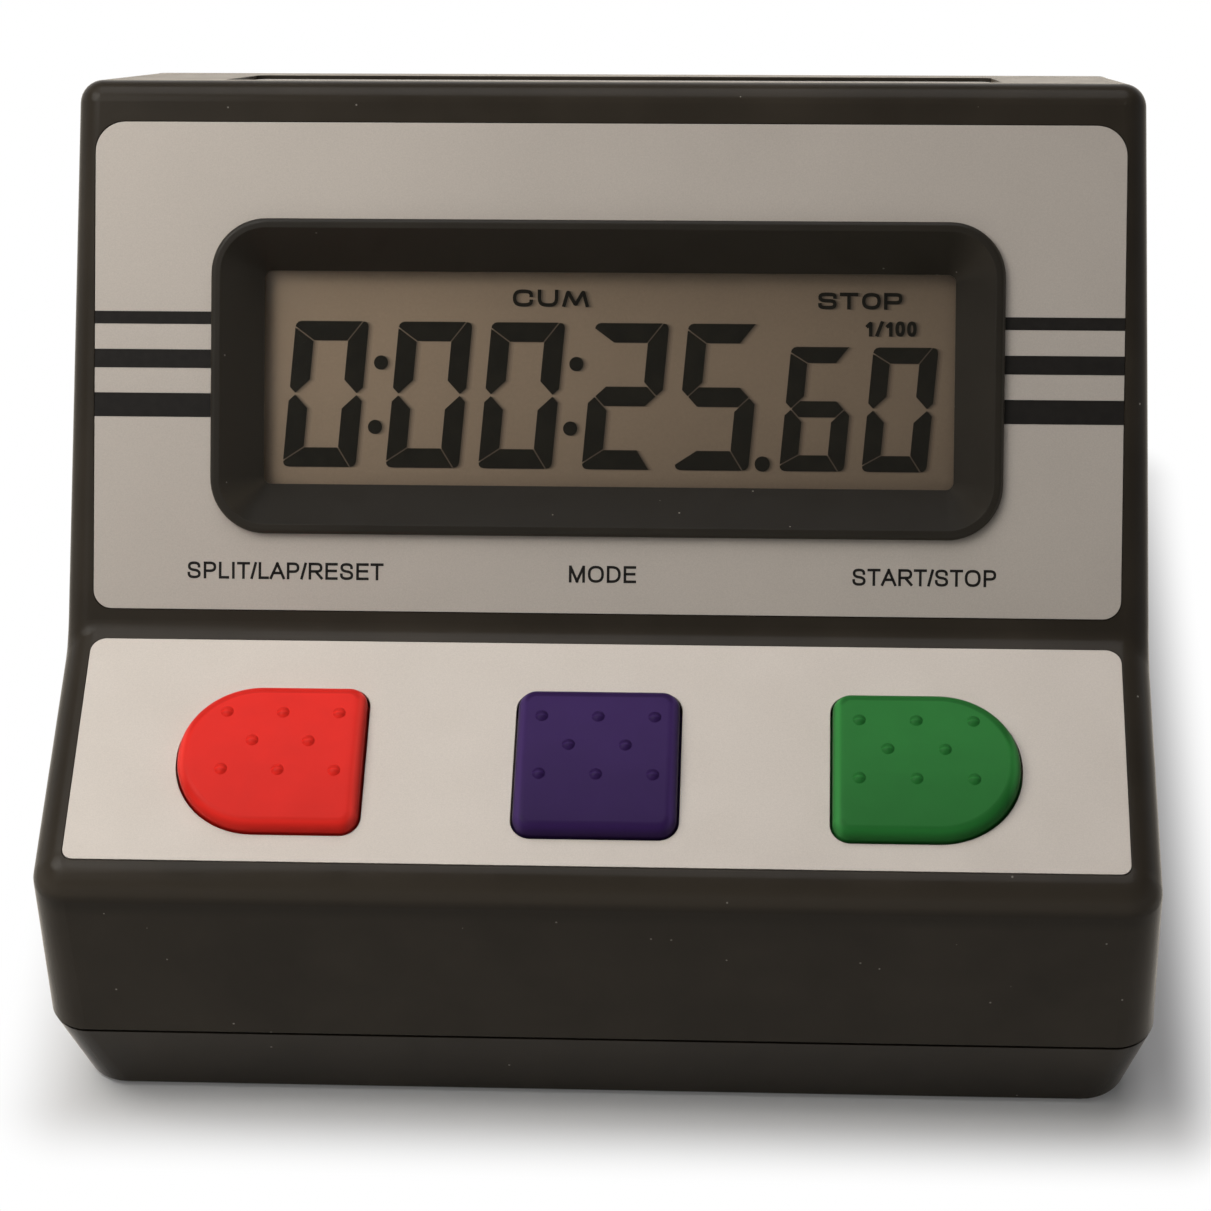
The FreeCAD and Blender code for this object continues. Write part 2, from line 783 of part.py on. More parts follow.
tongue = ring(
    "tongue_ring",
    PARTING,
    "wall + fit_clearance",
    RIM_INSET,
    "corner_radius - wall - fit_clearance",
    "fit_clearance + tongue_thickness",
)
pad(lower_case, "tongue", tongue, "tongue_height")
seam = ring("seam_ring", PARTING, "-wall", "seam_width", "corner_radius + wall", "corner_radius - seam_width")
pocket(lower_case, "seam", seam, "seam_depth")

bay_block = sketch(lower_case, "bay_block", lift=total("foot_proud", "floor_thickness / 2"))
span(
    bay_block,
    "-%s / 2 - bay_wall" % BAY_LENGTH,
    "%s / 2 + bay_wall" % BAY_LENGTH,
    BAY_LOW_Y + " - bay_wall",
    BAY_HIGH_Y + " + bay_wall",
)
pad(lower_case, "bay", bay_block, less(total(BAY_TOP, "bay_wall"), "foot_proud", "floor_thickness / 2"))
bay_hole = sketch(lower_case, "bay_hole", lift="foot_proud")
span(bay_hole, "-%s / 2" % BAY_LENGTH, "%s / 2" % BAY_LENGTH, BAY_LOW_Y, BAY_HIGH_Y)
pocket(lower_case, "bay_hollow", bay_hole, less(BAY_TOP, "foot_proud"), up=True)
rebate = sketch(lower_case, "door_rebate", lift="foot_proud")
span(rebate, "-" + REBATE_X, REBATE_X, BAY_LOW_Y + " - door_lap", BAY_HIGH_Y + " + door_lap")
pocket(lower_case, "rebate", rebate, "door_thickness + contact_gap", up=True)
slots = sketch(lower_case, "pivot_slots", lift="foot_proud")
slot_half = "(pivot_radius + pivot_clearance)"
for low, high in (
    (less(BAY_LOW_Y, "door_lap", "pivot_length"), total(BAY_LOW_Y, "-door_lap", SLOT_OVERLAP)),
    (total(BAY_HIGH_Y, "door_lap", "-" + SLOT_OVERLAP), total(BAY_HIGH_Y, "door_lap", "pivot_length")),
):
    span(slots, less(PIVOT_X, slot_half), total(PIVOT_X, slot_half), low, high)
pocket(lower_case, "slots", slots, "door_thickness / 2 + pivot_radius + pivot_clearance", up=True)

TAB_Z = total(CELL_Z, "tab_rise")
TAB_END = total(BAY_LENGTH + " / 2", "bay_wall", "tab_reach")
FRONT_CELL_Y = less("bay_centre_y", "cell_radius", "cell_clearance / 2")
REAR_CELL_Y = total("bay_centre_y", "cell_radius", "cell_clearance / 2")
tab_slots = sketch(lower_case, "tab_slots", lift=less(TAB_Z, "fit_clearance"))
for middle in (FRONT_CELL_Y, REAR_CELL_Y):
    tab_half = "(tab_width / 2 + fit_clearance)"
    span(
        tab_slots,
        "%s / 2 - contact_gap" % BAY_LENGTH,
        "%s / 2 + bay_wall + contact_gap" % BAY_LENGTH,
        less(middle, tab_half),
        total(middle, tab_half),
    )
pocket(lower_case, "contact_slots", tab_slots, "contact_thickness + 2 * fit_clearance", up=True)

lower_posts = sketch(lower_case, "lower_posts", lift=total("foot_proud", "floor_thickness / 2"))
lower_holes = sketch(lower_case, "lower_holes", lift="foot_proud")
lower_sinks = sketch(lower_case, "lower_sinks", lift="foot_proud")
CASE_BOSSES = [(a + CASE_BOSS_X, b + CASE_BOSS_Y) for a in ("-", "") for b in ("-", "")]
for x, y in CASE_BOSSES:
    circle(lower_posts, x, y, "case_boss_radius")
    circle(lower_holes, x, y, "case_screw_radius + fit_clearance")
    circle(lower_sinks, x, y, "case_head_radius + fit_clearance")
pad(lower_case, "base_bosses", lower_posts, less("base_height", "floor_thickness / 2"))
pocket(lower_case, "screw_holes", lower_holes, "base_height + tongue_height", up=True)
pocket(lower_case, "screw_sinks", lower_sinks, "case_head_sink", up=True)

FEET = {
    "foot_front_left": ("-", "-"),
    "foot_front_right": ("", "-"),
    "foot_rear_left": ("-", ""),
    "foot_rear_right": ("", ""),
}
FOOT_X = "(case_width / 2 - foot_inset_x)"
FOOT_Y = "(case_depth / 2 - foot_inset_y)"
foot_seats = sketch(lower_case, "foot_seats", lift="foot_proud")
for a, b in FEET.values():
    circle(foot_seats, a + FOOT_X, b + FOOT_Y, "foot_radius + contact_gap")
pocket(lower_case, "foot_recesses", foot_seats, "foot_recess", up=True)
keep(lower_case)


def on_floor(edge):
    return len(edge.Vertexes) == 1 and near(edge.CenterOfMass.z, 0)


# Rubber feet
for label, (a, b) in FEET.items():
    foot = new_body(label)
    disc = sketch(foot, label + "_disc")
    circle(disc, a + FOOT_X, b + FOOT_Y, "foot_radius")
    block = pad(foot, label + "_block", disc, "foot_proud + foot_recess")
    fillet(foot, label + "_edge", block, "foot_proud / 2", on_floor)
    keep(foot)


# Labels
def label_plate(label, frame, draw, low, thickness, holes=()):
    plate = new_body(label, frame)
    outline = sketch(plate, label + "_outline", lift=low)
    draw(outline)
    pad(plate, label + "_plate", outline, thickness)
    for k, hole in enumerate(holes):
        opening = sketch(plate, "%s_hole_%d" % (label, k), lift=low)
        hole(opening)
        pocket(plate, "%s_cut_%d" % (label, k), opening, "2 * (%s)" % thickness, up=True)
    return keep(plate)


label_plate(
    "keypad_label",
    KEY,
    lambda o: label_outline(o, *KEY_LABEL, "contact_gap"),
    "-label_recess",
    "label_thickness",
    [lambda o, name=name: button_outline(o, name, "button_clearance") for name in BUTTONS],
)
label_plate(
    "display_label",
    DISPLAY,
    lambda o: label_outline(o, *DISPLAY_LABEL, "contact_gap"),
    "-label_recess",
    "label_thickness",
    [lambda o: bezel_outline(o, "bezel_lap")],
)
label_plate(
    "rear_label", REAR, lambda o: rear_outline(o, "fit_clearance"), "-rear_recess", "rear_label_thickness"
)

# Bezel: a flange over the label, a barrel through the panel and a funnel down to the window
LABEL_TOP = less("label_thickness", "label_recess")
WINDOW_DEPTH = total("window_depth", "window_land")
BEZEL_BACK = total(WINDOW_DEPTH, "lens_thickness")
BEZEL_TOP = total(LABEL_TOP, "bezel_proud")
bezel = new_body("display_bezel", DISPLAY)
flange = sketch(bezel, "flange_outline", lift=LABEL_TOP)
bezel_outline(flange, "0")
flange_plate = pad(bezel, "bezel_flange", flange, "bezel_proud")
fillet(bezel, "bezel_rim_round", flange_plate, "bezel_round", at_height(BEZEL_TOP))
barrel = sketch(bezel, "barrel_outline", lift="-" + BEZEL_BACK)
bezel_outline(barrel, "bezel_lap + fit_clearance")
pad(bezel, "bezel_barrel", barrel, total(BEZEL_BACK, LABEL_TOP))
mouth = sketch(bezel, "funnel_mouth", lift=BEZEL_TOP)
bezel_outline(mouth, "bezel_rim")
throat = sketch(bezel, "funnel_throat", lift="-window_depth")
window_outline(throat, "0")
loft(bezel, "funnel", [mouth, throat], cut=True)
land = sketch(bezel, "window_land_outline", lift="-" + BEZEL_BACK)
window_outline(land, "0")
pocket(bezel, "window_cut", land, "2 * (%s)" % BEZEL_BACK, up=True)
lens_seat = sketch(bezel, "lens_seat_outline", lift="-" + BEZEL_BACK)
window_outline(lens_seat, "lens_lap", "window_radius")
pocket(bezel, "lens_seat", lens_seat, "lens_thickness", up=True)
keep(bezel)

lens = new_body("display_window", DISPLAY)
pane = sketch(lens, "pane_outline", lift="-" + BEZEL_BACK)
window_outline(pane, "lens_lap - contact_gap", "window_radius")
pad(lens, "pane", pane, "lens_thickness")
keep(lens)


# Liquid crystal display stack, behind the window
def slab(label, frame, width, middle, height, low, thickness):
    """A block centred on X and on a height along a frame, that starts at a level."""
    return box(
        label,
        frame,
        ("-(%s) / 2" % width, "%s - (%s) / 2" % (middle, height), low),
        (width, height, thickness),
    )


GLASS_FRONT = total(BEZEL_BACK, "contact_gap")
GLASS_MID = total(GLASS_FRONT, "glass_thickness")
GLASS_BACK = total(GLASS_MID, "glass_thickness")


def pane_slab(label, height, back):
    return slab(label, DISPLAY, "lcd_width", BEZEL_MID, height, "-" + back, "glass_thickness")


front_glass = pane_slab("front_glass", "lcd_height", GLASS_MID)
back_height = "(lcd_height - 2 * lcd_ledge)"
back_glass = pane_slab("back_glass", back_height, GLASS_BACK)
keep(fuse("lcd_glass", [front_glass, back_glass]))
reflector_low = "-" + total(GLASS_BACK, "reflector_thickness")
keep(
    slab(
        "lcd_reflector",
        DISPLAY,
        "(lcd_width - 2 * reflector_inset)",
        BEZEL_MID,
        "(%s - reflector_inset)" % back_height,
        reflector_low,
        "reflector_thickness",
    )
)
for label, sign in (("zebra_strip_lower", "-"), ("zebra_strip_upper", "+")):
    middle = "(%s %s (lcd_height - lcd_ledge) / 2)" % (BEZEL_MID, sign)
    low = "-main_board_depth"
    tall = less("main_board_depth", GLASS_MID)
    keep(slab(label, DISPLAY, "zebra_length", middle, "zebra_thickness", low, tall))
holder_low = "(-main_board_depth + contact_gap)"
holder_tall = less("main_board_depth", "contact_gap", BEZEL_BACK, "contact_gap")
holder_block = slab(
    "holder_block", DISPLAY, "holder_width", BEZEL_MID, "holder_height", holder_low, holder_tall
)
holder_hole = slab(
    "holder_hole",
    DISPLAY,
    "(lcd_width + 2 * fit_clearance)",
    BEZEL_MID,
    "(lcd_height + 2 * fit_clearance)",
    "(%s - contact_gap)" % holder_low,
    "(%s + 2 * contact_gap)" % holder_tall,
)
keep(cut("lcd_holder", holder_block, holder_hole))


# Circuit boards
MAIN_BOARD_LOW = less(BEZEL_MID, "main_board_height / 2")


def board(label, frame, half, low, high, places):
    """A plate with screw holes, as deep below its panel as the size that bears its name."""
    plate = new_body(label, frame)
    outline = sketch(plate, label + "_outline", lift="-(%s_depth + board_thickness)" % label)
    span(outline, "-" + half, half, low, high)
    for x, y in places:
        circle(outline, x, y, "screw_radius + fit_clearance")
    pad(plate, label + "_plate", outline, "board_thickness")
    return keep(plate)


def board_screws(label, frame, depth, places):
    """Pan head screws that come from behind a board into the panel's bosses."""
    screws = []
    under = "-(%s + board_thickness)" % depth
    for k, (x, y) in enumerate(places):
        shank = cylinder("%s_shank_%d" % (label, k), frame, (x, y, under), "screw_radius", "screw_length")
        head = cylinder(
            "%s_head_%d" % (label, k),
            frame,
            (x, y, "%s - screw_head_height" % under),
            "screw_head_radius",
            "screw_head_height",
        )
        screws.append(fuse("%s_%d" % (label, k), [shank, head]))
    return keep(group(label, screws))


board("key_board", KEY, KEY_BOARD_HALF, "key_board_margin", KEY_BOARD_END, KEY_BOSSES)
board_screws("key_board_screws", KEY, "key_board_depth", KEY_BOSSES)
main_board_end = total(MAIN_BOARD_LOW, "main_board_height")
board("main_board", DISPLAY, "(main_board_width / 2)", MAIN_BOARD_LOW, main_board_end, MAIN_BOSSES)
board_screws("main_board_screws", DISPLAY, "main_board_depth", MAIN_BOSSES)

# Buttons and the rubber domes under them
BUTTON_TOP = total(LABEL_TOP, "button_proud")
BUTTON_FOOT = less(BUTTON_TOP, "button_crown")
CROWN_RADIUS = "(((button_length / 2) ^ 2 + button_crown ^ 2) / (2 * button_crown))"
FLANGE_TOP = "(-wall - contact_gap)"
STEM_END = "(-key_board_depth + dome_height + contact_gap)"
for name, shape in BUTTONS.items():
    cap = new_body(name + "_cap", KEY)
    skirt = sketch(cap, name + "_skirt", lift=FLANGE_TOP)
    button_outline(skirt, name, "0")
    tall = total(BUTTON_TOP, "wall", "contact_gap")
    pad(cap, name + "_column", skirt, tall)
    crown = sketch(cap, name + "_crown", role="YZ_Plane")
    arched(crown, BUTTON_LOW, BUTTON_HIGH, BUTTON_FOOT, CROWN_RADIUS, total(BUTTON_TOP, "button_crown"))
    crowned = pocket(cap, name + "_crown_cut", crown, midplane=True)
    fillet(cap, name + "_round", crowned, "button_round", from_height(BUTTON_FOOT))
    collar = sketch(cap, name + "_collar", lift=less(FLANGE_TOP, "flange_thickness"))
    button_outline(collar, name, "button_flange")
    pad(cap, name + "_flange", collar, "flange_thickness")
    stem = sketch(cap, name + "_stem", lift=STEM_END)
    circle(stem, shape["x"], BUTTON_MID, "stem_radius")
    pad(cap, name + "_post", stem, less(FLANGE_TOP, "flange_thickness / 2", STEM_END))
    sphere_radius = "((dot_radius ^ 2 + dot_proud ^ 2) / (2 * dot_proud))"
    pieces = [cap]
    for line, offsets in enumerate((("-1", "0", "1"), ("-0.5", "0.5"), ("-1", "0", "1"))):
        off_middle = "(button_length / 2 - dot_margin - %d * dot_pitch_y)" % line
        surface = "(%s - %s + sqrt(%s ^ 2 - %s ^ 2))" % (BUTTON_TOP, CROWN_RADIUS, CROWN_RADIUS, off_middle)
        for k, step in enumerate(offsets):
            dot = doc.addObject("Part::Sphere", "%s_dot_%d_%d" % (name, line, k))
            seat(
                dot,
                KEY,
                (
                    "%s + %s * dot_pitch_x" % (shape["dots"], step),
                    total(BUTTON_MID, off_middle),
                    "%s + dot_proud - %s" % (surface, sphere_radius),
                ),
            )
            bind(dot, "Radius", sphere_radius)
            pieces.append(dot)
    keep(fuse(name, pieces))
    keep(
        cone(
            name.replace("button", "dome"),
            KEY,
            (shape["x"], BUTTON_MID, "-key_board_depth"),
            "dome_base_radius",
            "dome_top_radius",
            "dome_height",
        )
    )

# Components behind the main board
BOARD_BACK = "(-main_board_depth - board_thickness)"
CHIP_Y = less(BEZEL_MID, "chip_drop")
CAPACITOR_Y = total(CHIP_Y, "capacitor_pitch")


def behind(x, y, height):
    """The low end of a component that stands on the back of the main board."""
    return (x, y, less(BOARD_BACK, height))


chip_place = behind("-chip_offset", CHIP_Y, "chip_height")
keep(cone("controller_chip", DISPLAY, chip_place, "chip_top_radius", "chip_radius", "chip_height"))
crystal_place = behind("-crystal_offset", CHIP_Y, "crystal_length")
keep(cylinder("crystal", DISPLAY, crystal_place, "crystal_radius", "crystal_length"))
for label, y in (("supply_capacitor", CHIP_Y), ("filter_capacitor", CAPACITOR_Y)):
    place = behind("capacitor_offset", y, "capacitor_height")
    keep(cylinder(label, DISPLAY, place, "capacitor_radius", "capacitor_height"))
buzzer_place = behind("0", total(BEZEL_MID, "buzzer_lift"), "buzzer_height")
keep(cylinder("buzzer", DISPLAY, buzzer_place, "buzzer_radius", "buzzer_height"))

# Case screws, sunk in the lower case and driven up into the upper bosses
case_screws = []
HEAD_TOP = total("foot_proud", "case_head_sink")
for k, (x, y) in enumerate(CASE_BOSSES):
    shank = cylinder("case_shank_%d" % k, FLAT, (x, y, HEAD_TOP), "case_screw_radius", "case_screw_length")
    head_low = less(HEAD_TOP, "case_head_height")
    head = cylinder("case_head_%d" % k, FLAT, (x, y, head_low), "case_head_radius", "case_head_height")
    case_screws.append(fuse("case_screw_%d" % k, [shank, head]))
keep(group("case_screws", case_screws))

# Battery: two cells side by side, nose to tail, between spring and plate contacts
ALONG_X = Rotation(Vector(0, 1, 0), 90)
LEFT_END = "(-%s / 2 + contact_thickness)" % BAY_LENGTH
RIGHT_END = "(%s / 2 - contact_thickness)" % BAY_LENGTH


def cell(label, y, start, nub_start):
    sleeve_at = (start, y, CELL_Z)
    sleeve = cylinder(label + "_sleeve", FLAT, sleeve_at, "cell_radius", "cell_length", turn=ALONG_X)
    nub_at = (nub_start, y, CELL_Z)
    nub = cylinder(label + "_nub", FLAT, nub_at, "cell_nub_radius", "cell_nub_length", turn=ALONG_X)
    return keep(fuse(label, [sleeve, nub]))


cell("battery_cell_front", FRONT_CELL_Y, total(LEFT_END, "spring_length"), less(RIGHT_END, "cell_nub_length"))
cell("battery_cell_rear", REAR_CELL_Y, total(LEFT_END, "cell_nub_length"), LEFT_END)


def contact_plate(label, x, y_low, y_high):
    return box(
        label,
        FLAT,
        (x, y_low, less(CELL_Z, "contact_height / 2")),
        ("contact_thickness", less(y_high, y_low), "contact_height"),
    )


def contact_tab(label, y):
    reach = less(TAB_END, RIGHT_END)
    return box(
        label, FLAT, (RIGHT_END, less(y, "tab_width / 2"), TAB_Z), (reach, "tab_width", "contact_thickness")
    )


def contact_spring(label, start, y, low_radius, high_radius):
    return cone(label, FLAT, (start, y, CELL_Z), low_radius, high_radius, "spring_length", turn=ALONG_X)


half_plate = "contact_width / 2"
link_plate = contact_plate(
    "link_plate", "-%s / 2" % BAY_LENGTH, less(FRONT_CELL_Y, half_plate), total(REAR_CELL_Y, half_plate)
)
link_spring = contact_spring("link_spring", LEFT_END, FRONT_CELL_Y, "spring_radius", "cell_nub_radius")
keep(fuse("link_contact", [link_plate, link_spring]))
negative_plate = contact_plate(
    "negative_plate", RIGHT_END, less(REAR_CELL_Y, half_plate), total(REAR_CELL_Y, half_plate)
)
spring_start = less(RIGHT_END, "spring_length")
negative_spring = contact_spring(
    "negative_spring", spring_start, REAR_CELL_Y, "cell_nub_radius", "spring_radius"
)
keep(fuse("negative_contact", [negative_plate, negative_spring, contact_tab("negative_tab", REAR_CELL_Y)]))
positive_plate = contact_plate(
    "positive_plate", RIGHT_END, less(FRONT_CELL_Y, half_plate), total(FRONT_CELL_Y, half_plate)
)
keep(fuse("positive_contact", [positive_plate, contact_tab("positive_tab", FRONT_CELL_Y)]))

# Battery door: a plate with a round hinge edge on two pivot pins, a thumb notch and a latch nose
ALONG_Y = Rotation(Vector(1, 0, 0), -90)
DOOR_LOW_Y = total(BAY_LOW_Y, "-door_lap", "door_clearance")
DOOR_HIGH_Y = total(BAY_HIGH_Y, "door_lap", "-door_clearance")
DOOR_FAR_X = less(REBATE_X, "door_clearance")
door_plate = box(
    "door_plate",
    FLAT,
    (PIVOT_X, DOOR_LOW_Y, "foot_proud"),
    (less(DOOR_FAR_X, PIVOT_X), less(DOOR_HIGH_Y, DOOR_LOW_Y), "door_thickness"),
)
door_edge = cylinder(
    "door_edge",
    FLAT,
    (PIVOT_X, DOOR_LOW_Y, PIVOT_Z),
    "door_thickness / 2",
    less(DOOR_HIGH_Y, DOOR_LOW_Y),
    turn=ALONG_Y,
)
pin_reach = "(pivot_length - fit_clearance + door_clearance)"
door_pins = cylinder(
    "door_pins",
    FLAT,
    (PIVOT_X, less(DOOR_LOW_Y, pin_reach), PIVOT_Z),
    "pivot_radius",
    total(less(DOOR_HIGH_Y, DOOR_LOW_Y), "2 * " + pin_reach),
    turn=ALONG_Y,
)
latch_nose = box(
    "latch_nose",
    FLAT,
    (DOOR_FAR_X, "bay_centre_y - latch_width / 2", PIVOT_Z),
    ("door_clearance - contact_gap", "latch_width", "door_thickness / 2"),
)
door_solid = fuse("door_solid", [door_plate, door_edge, door_pins, latch_nose])
thumb_notch = cylinder(
    "thumb_notch",
    FLAT,
    (less(DOOR_FAR_X, "2 * notch_radius"), "bay_centre_y", "0"),
    "notch_radius",
    "foot_proud + notch_depth",
)
keep(cut("battery_door", door_solid, thumb_notch))


# Wiring: a flat ribbon between the boards and two leads from the contacts to the main board
def point(frame, x, y, z):
    """A point of a frame as numbers in the case's own axes."""
    slope = math.radians(number(frame["slope"]))
    along = number(y)
    out = number(z)
    return Vector(
        number(x),
        number(frame["y"]) + along * math.cos(slope) - out * math.sin(slope),
        number(frame["z"]) + along * math.sin(slope) + out * math.cos(slope),
    )


def route(points):
    """Straight runs joined by tangent arcs that are as large as the runs allow."""
    lines = []
    start = points[0]
    for before, corner, after in zip(points, points[1:], points[2:]):
        run_in = (corner - before).Length
        run_out = (after - corner).Length
        way_in = (corner - before).normalize()
        way_out = (after - corner).normalize()
        half_turn = way_in.getAngle(way_out) / 2
        reach = 0.45 * min(run_in, run_out)
        radius = reach / math.tan(half_turn)
        print("wiring bend radius %.1f" % radius)
        arc_start = corner - way_in * reach
        arc_end = corner + way_out * reach
        bisector = (way_out - way_in).normalize()
        middle = corner + bisector * (radius / math.cos(half_turn) - radius)
        lines.append(Part.LineSegment(start, arc_start).toShape())
        lines.append(Part.Arc(arc_start, middle, arc_end).toShape())
        start = arc_end
    lines.append(Part.LineSegment(start, points[-1]).toShape())
    return Part.Wire(lines)


def sweep(label, points, profile):
    path = route(points)
    shape = path.makePipeShell([profile], True, False)
    share = shape.Volume / Part.Face(profile).Area / path.Length
    print("%s volume over section times length %.4f" % (label, share))
    thing = doc.addObject("Part::Feature", label)
    thing.Label = label
    thing.Shape = shape
    thing.Placement = Placement()
    return keep(thing)


def header(label, frame, middle, face):
    """A connector block that stands on the inner face of a board."""
    return keep(
        box(
            label,
            frame,
            ("-header_width / 2", less(middle, "header_depth / 2"), less(face, "header_height")),
            ("header_width", "header_depth", "header_height"),
        )
    )


KEY_BACK = "(-key_board_depth - board_thickness)"
KEY_HEADER_Y = less(KEY_BOARD_END, "header_inset")
MAIN_HEADER_Y = total(MAIN_BOARD_LOW, "header_inset")
header("key_header", KEY, KEY_HEADER_Y, KEY_BACK)
header("main_header", DISPLAY, MAIN_HEADER_Y, BOARD_BACK)
key_exit = less(KEY_BACK, "header_height")
main_exit = less(BOARD_BACK, "header_height")
ribbon_points = [
    point(KEY, "0", KEY_HEADER_Y, key_exit),
    point(KEY, "0", KEY_HEADER_Y, less(key_exit, "ribbon_drop")),
    point(DISPLAY, "0", MAIN_HEADER_Y, less(main_exit, "ribbon_drop")),
    point(DISPLAY, "0", MAIN_HEADER_Y, main_exit),
]
ribbon_half = number("ribbon_width") / 2
ribbon_corners = [
    point(KEY, side * ribbon_half, total(KEY_HEADER_Y, "%s * ribbon_thickness / 2" % end), key_exit)
    for side, end in ((-1, -1), (1, -1), (1, 1), (-1, 1))
]
sweep("ribbon_cable", ribbon_points, Part.makePolygon(ribbon_corners + ribbon_corners[:1]))


def lead(label, y, board_x):
    """A round lead from a contact's tab, up and forwards to the back of the main board."""
    start = point(FLAT, TAB_END, y, total(TAB_Z, "contact_thickness / 2"))
    end = point(DISPLAY, board_x, MAIN_HEADER_Y, BOARD_BACK)
    before_end = point(DISPLAY, board_x, MAIN_HEADER_Y, less(BOARD_BACK, "lead_stub"))
    out = start + Vector(number("lead_stub"), 0, 0)
    up = out + Vector(0, 0, 2 * number("lead_stub"))
    circle_edge = Part.Circle(start, Vector(1, 0, 0), number("lead_radius")).toShape()
    return sweep(label, [start, out, up, before_end, end], Part.Wire([circle_edge]))


lead("battery_lead_positive", FRONT_CELL_Y, "lead_board_x")
lead("battery_lead_negative", REAR_CELL_Y, "lead_board_x + lead_spacing")

# Checks, then one file for each piece
doc.recompute()
failed = [item.Name for item in doc.Objects if "Invalid" in item.State or "Error" in item.State]
if failed:
    raise RuntimeError("failed objects: %s" % ", ".join(failed))
for label, thing in PARTS.items():
    if thing.Shape.isNull() or not thing.Shape.isValid() or not thing.Shape.Solids:
        raise RuntimeError("%s has no valid solid" % label)
os.makedirs("parts", exist_ok=True)
for label, thing in PARTS.items():
    thing.Shape.exportStep("parts/%s.step" % label)
print("%d parts, pivot at x %.3f, z %.3f" % (len(PARTS), number(PIVOT_X), number(PIVOT_Z)))
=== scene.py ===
import json
import math

import bpy
from mathutils import Matrix, Vector

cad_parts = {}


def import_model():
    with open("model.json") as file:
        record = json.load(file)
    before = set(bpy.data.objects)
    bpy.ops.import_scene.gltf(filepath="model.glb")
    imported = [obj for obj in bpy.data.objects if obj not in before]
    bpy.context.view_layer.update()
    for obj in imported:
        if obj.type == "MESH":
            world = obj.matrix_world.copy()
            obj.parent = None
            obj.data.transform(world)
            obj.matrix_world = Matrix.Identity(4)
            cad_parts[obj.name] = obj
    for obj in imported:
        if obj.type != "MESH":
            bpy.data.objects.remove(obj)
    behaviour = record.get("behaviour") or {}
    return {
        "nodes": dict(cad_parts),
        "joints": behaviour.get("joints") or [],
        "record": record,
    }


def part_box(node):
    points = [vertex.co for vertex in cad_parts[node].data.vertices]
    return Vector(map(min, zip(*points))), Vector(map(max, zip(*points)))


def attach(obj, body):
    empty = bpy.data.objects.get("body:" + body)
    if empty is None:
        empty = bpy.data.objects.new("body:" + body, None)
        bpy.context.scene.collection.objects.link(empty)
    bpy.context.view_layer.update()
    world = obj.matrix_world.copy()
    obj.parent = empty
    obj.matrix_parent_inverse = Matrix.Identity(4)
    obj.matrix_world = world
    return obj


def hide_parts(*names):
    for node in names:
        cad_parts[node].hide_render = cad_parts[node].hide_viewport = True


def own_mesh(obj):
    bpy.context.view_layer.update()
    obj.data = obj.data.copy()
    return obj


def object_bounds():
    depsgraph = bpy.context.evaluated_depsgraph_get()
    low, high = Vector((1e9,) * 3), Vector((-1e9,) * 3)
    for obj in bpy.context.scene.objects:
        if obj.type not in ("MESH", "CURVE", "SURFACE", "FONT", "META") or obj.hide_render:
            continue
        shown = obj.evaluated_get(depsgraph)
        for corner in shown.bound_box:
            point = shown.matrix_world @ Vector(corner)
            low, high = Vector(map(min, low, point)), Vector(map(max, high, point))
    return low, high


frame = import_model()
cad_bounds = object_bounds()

MM = 0.001
NODES = frame["nodes"]
CASE = "case"
KEYS = ("reset", "mode", "start")

# Slope of the display panel, and thicknesses in millimetres of the plates that lie on it
DISPLAY_SLOPE = math.radians(50.4)
FILM = 0.5
PANE = 1.5


def panel_frame(node, outwards):
    """A frame amid a sloping plate, moved outwards: X to the right, Y up the slope, Z outwards."""
    low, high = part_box(node)
    turn = Matrix.Rotation(DISPLAY_SLOPE, 4, "X")
    return Matrix.Translation((low + high) / 2) @ turn @ Matrix.Translation((0, 0, outwards * MM))


DISPLAY_FACE = panel_frame("display_label", FILM / 2)
WINDOW_BACK = panel_frame("display_window", -PANE / 2)


# Materials
WHITE = (1, 1, 1, 1)

# Sockets of a Mix node that blends colours, by number, because its other sockets have the same names
MIX_SHARE, MIX_FIRST, MIX_SECOND, MIX_RESULT = 0, 6, 7, 2

# The middle range of a noise, where most of its values lie
NOISE_LOW, NOISE_HIGH = 0.3, 0.7
BEVEL_SAMPLES = 4


def dimmed(colour, gain):
    """An opaque colour whose channels are multiplied by a gain."""
    return (*(channel * gain for channel in colour), 1)


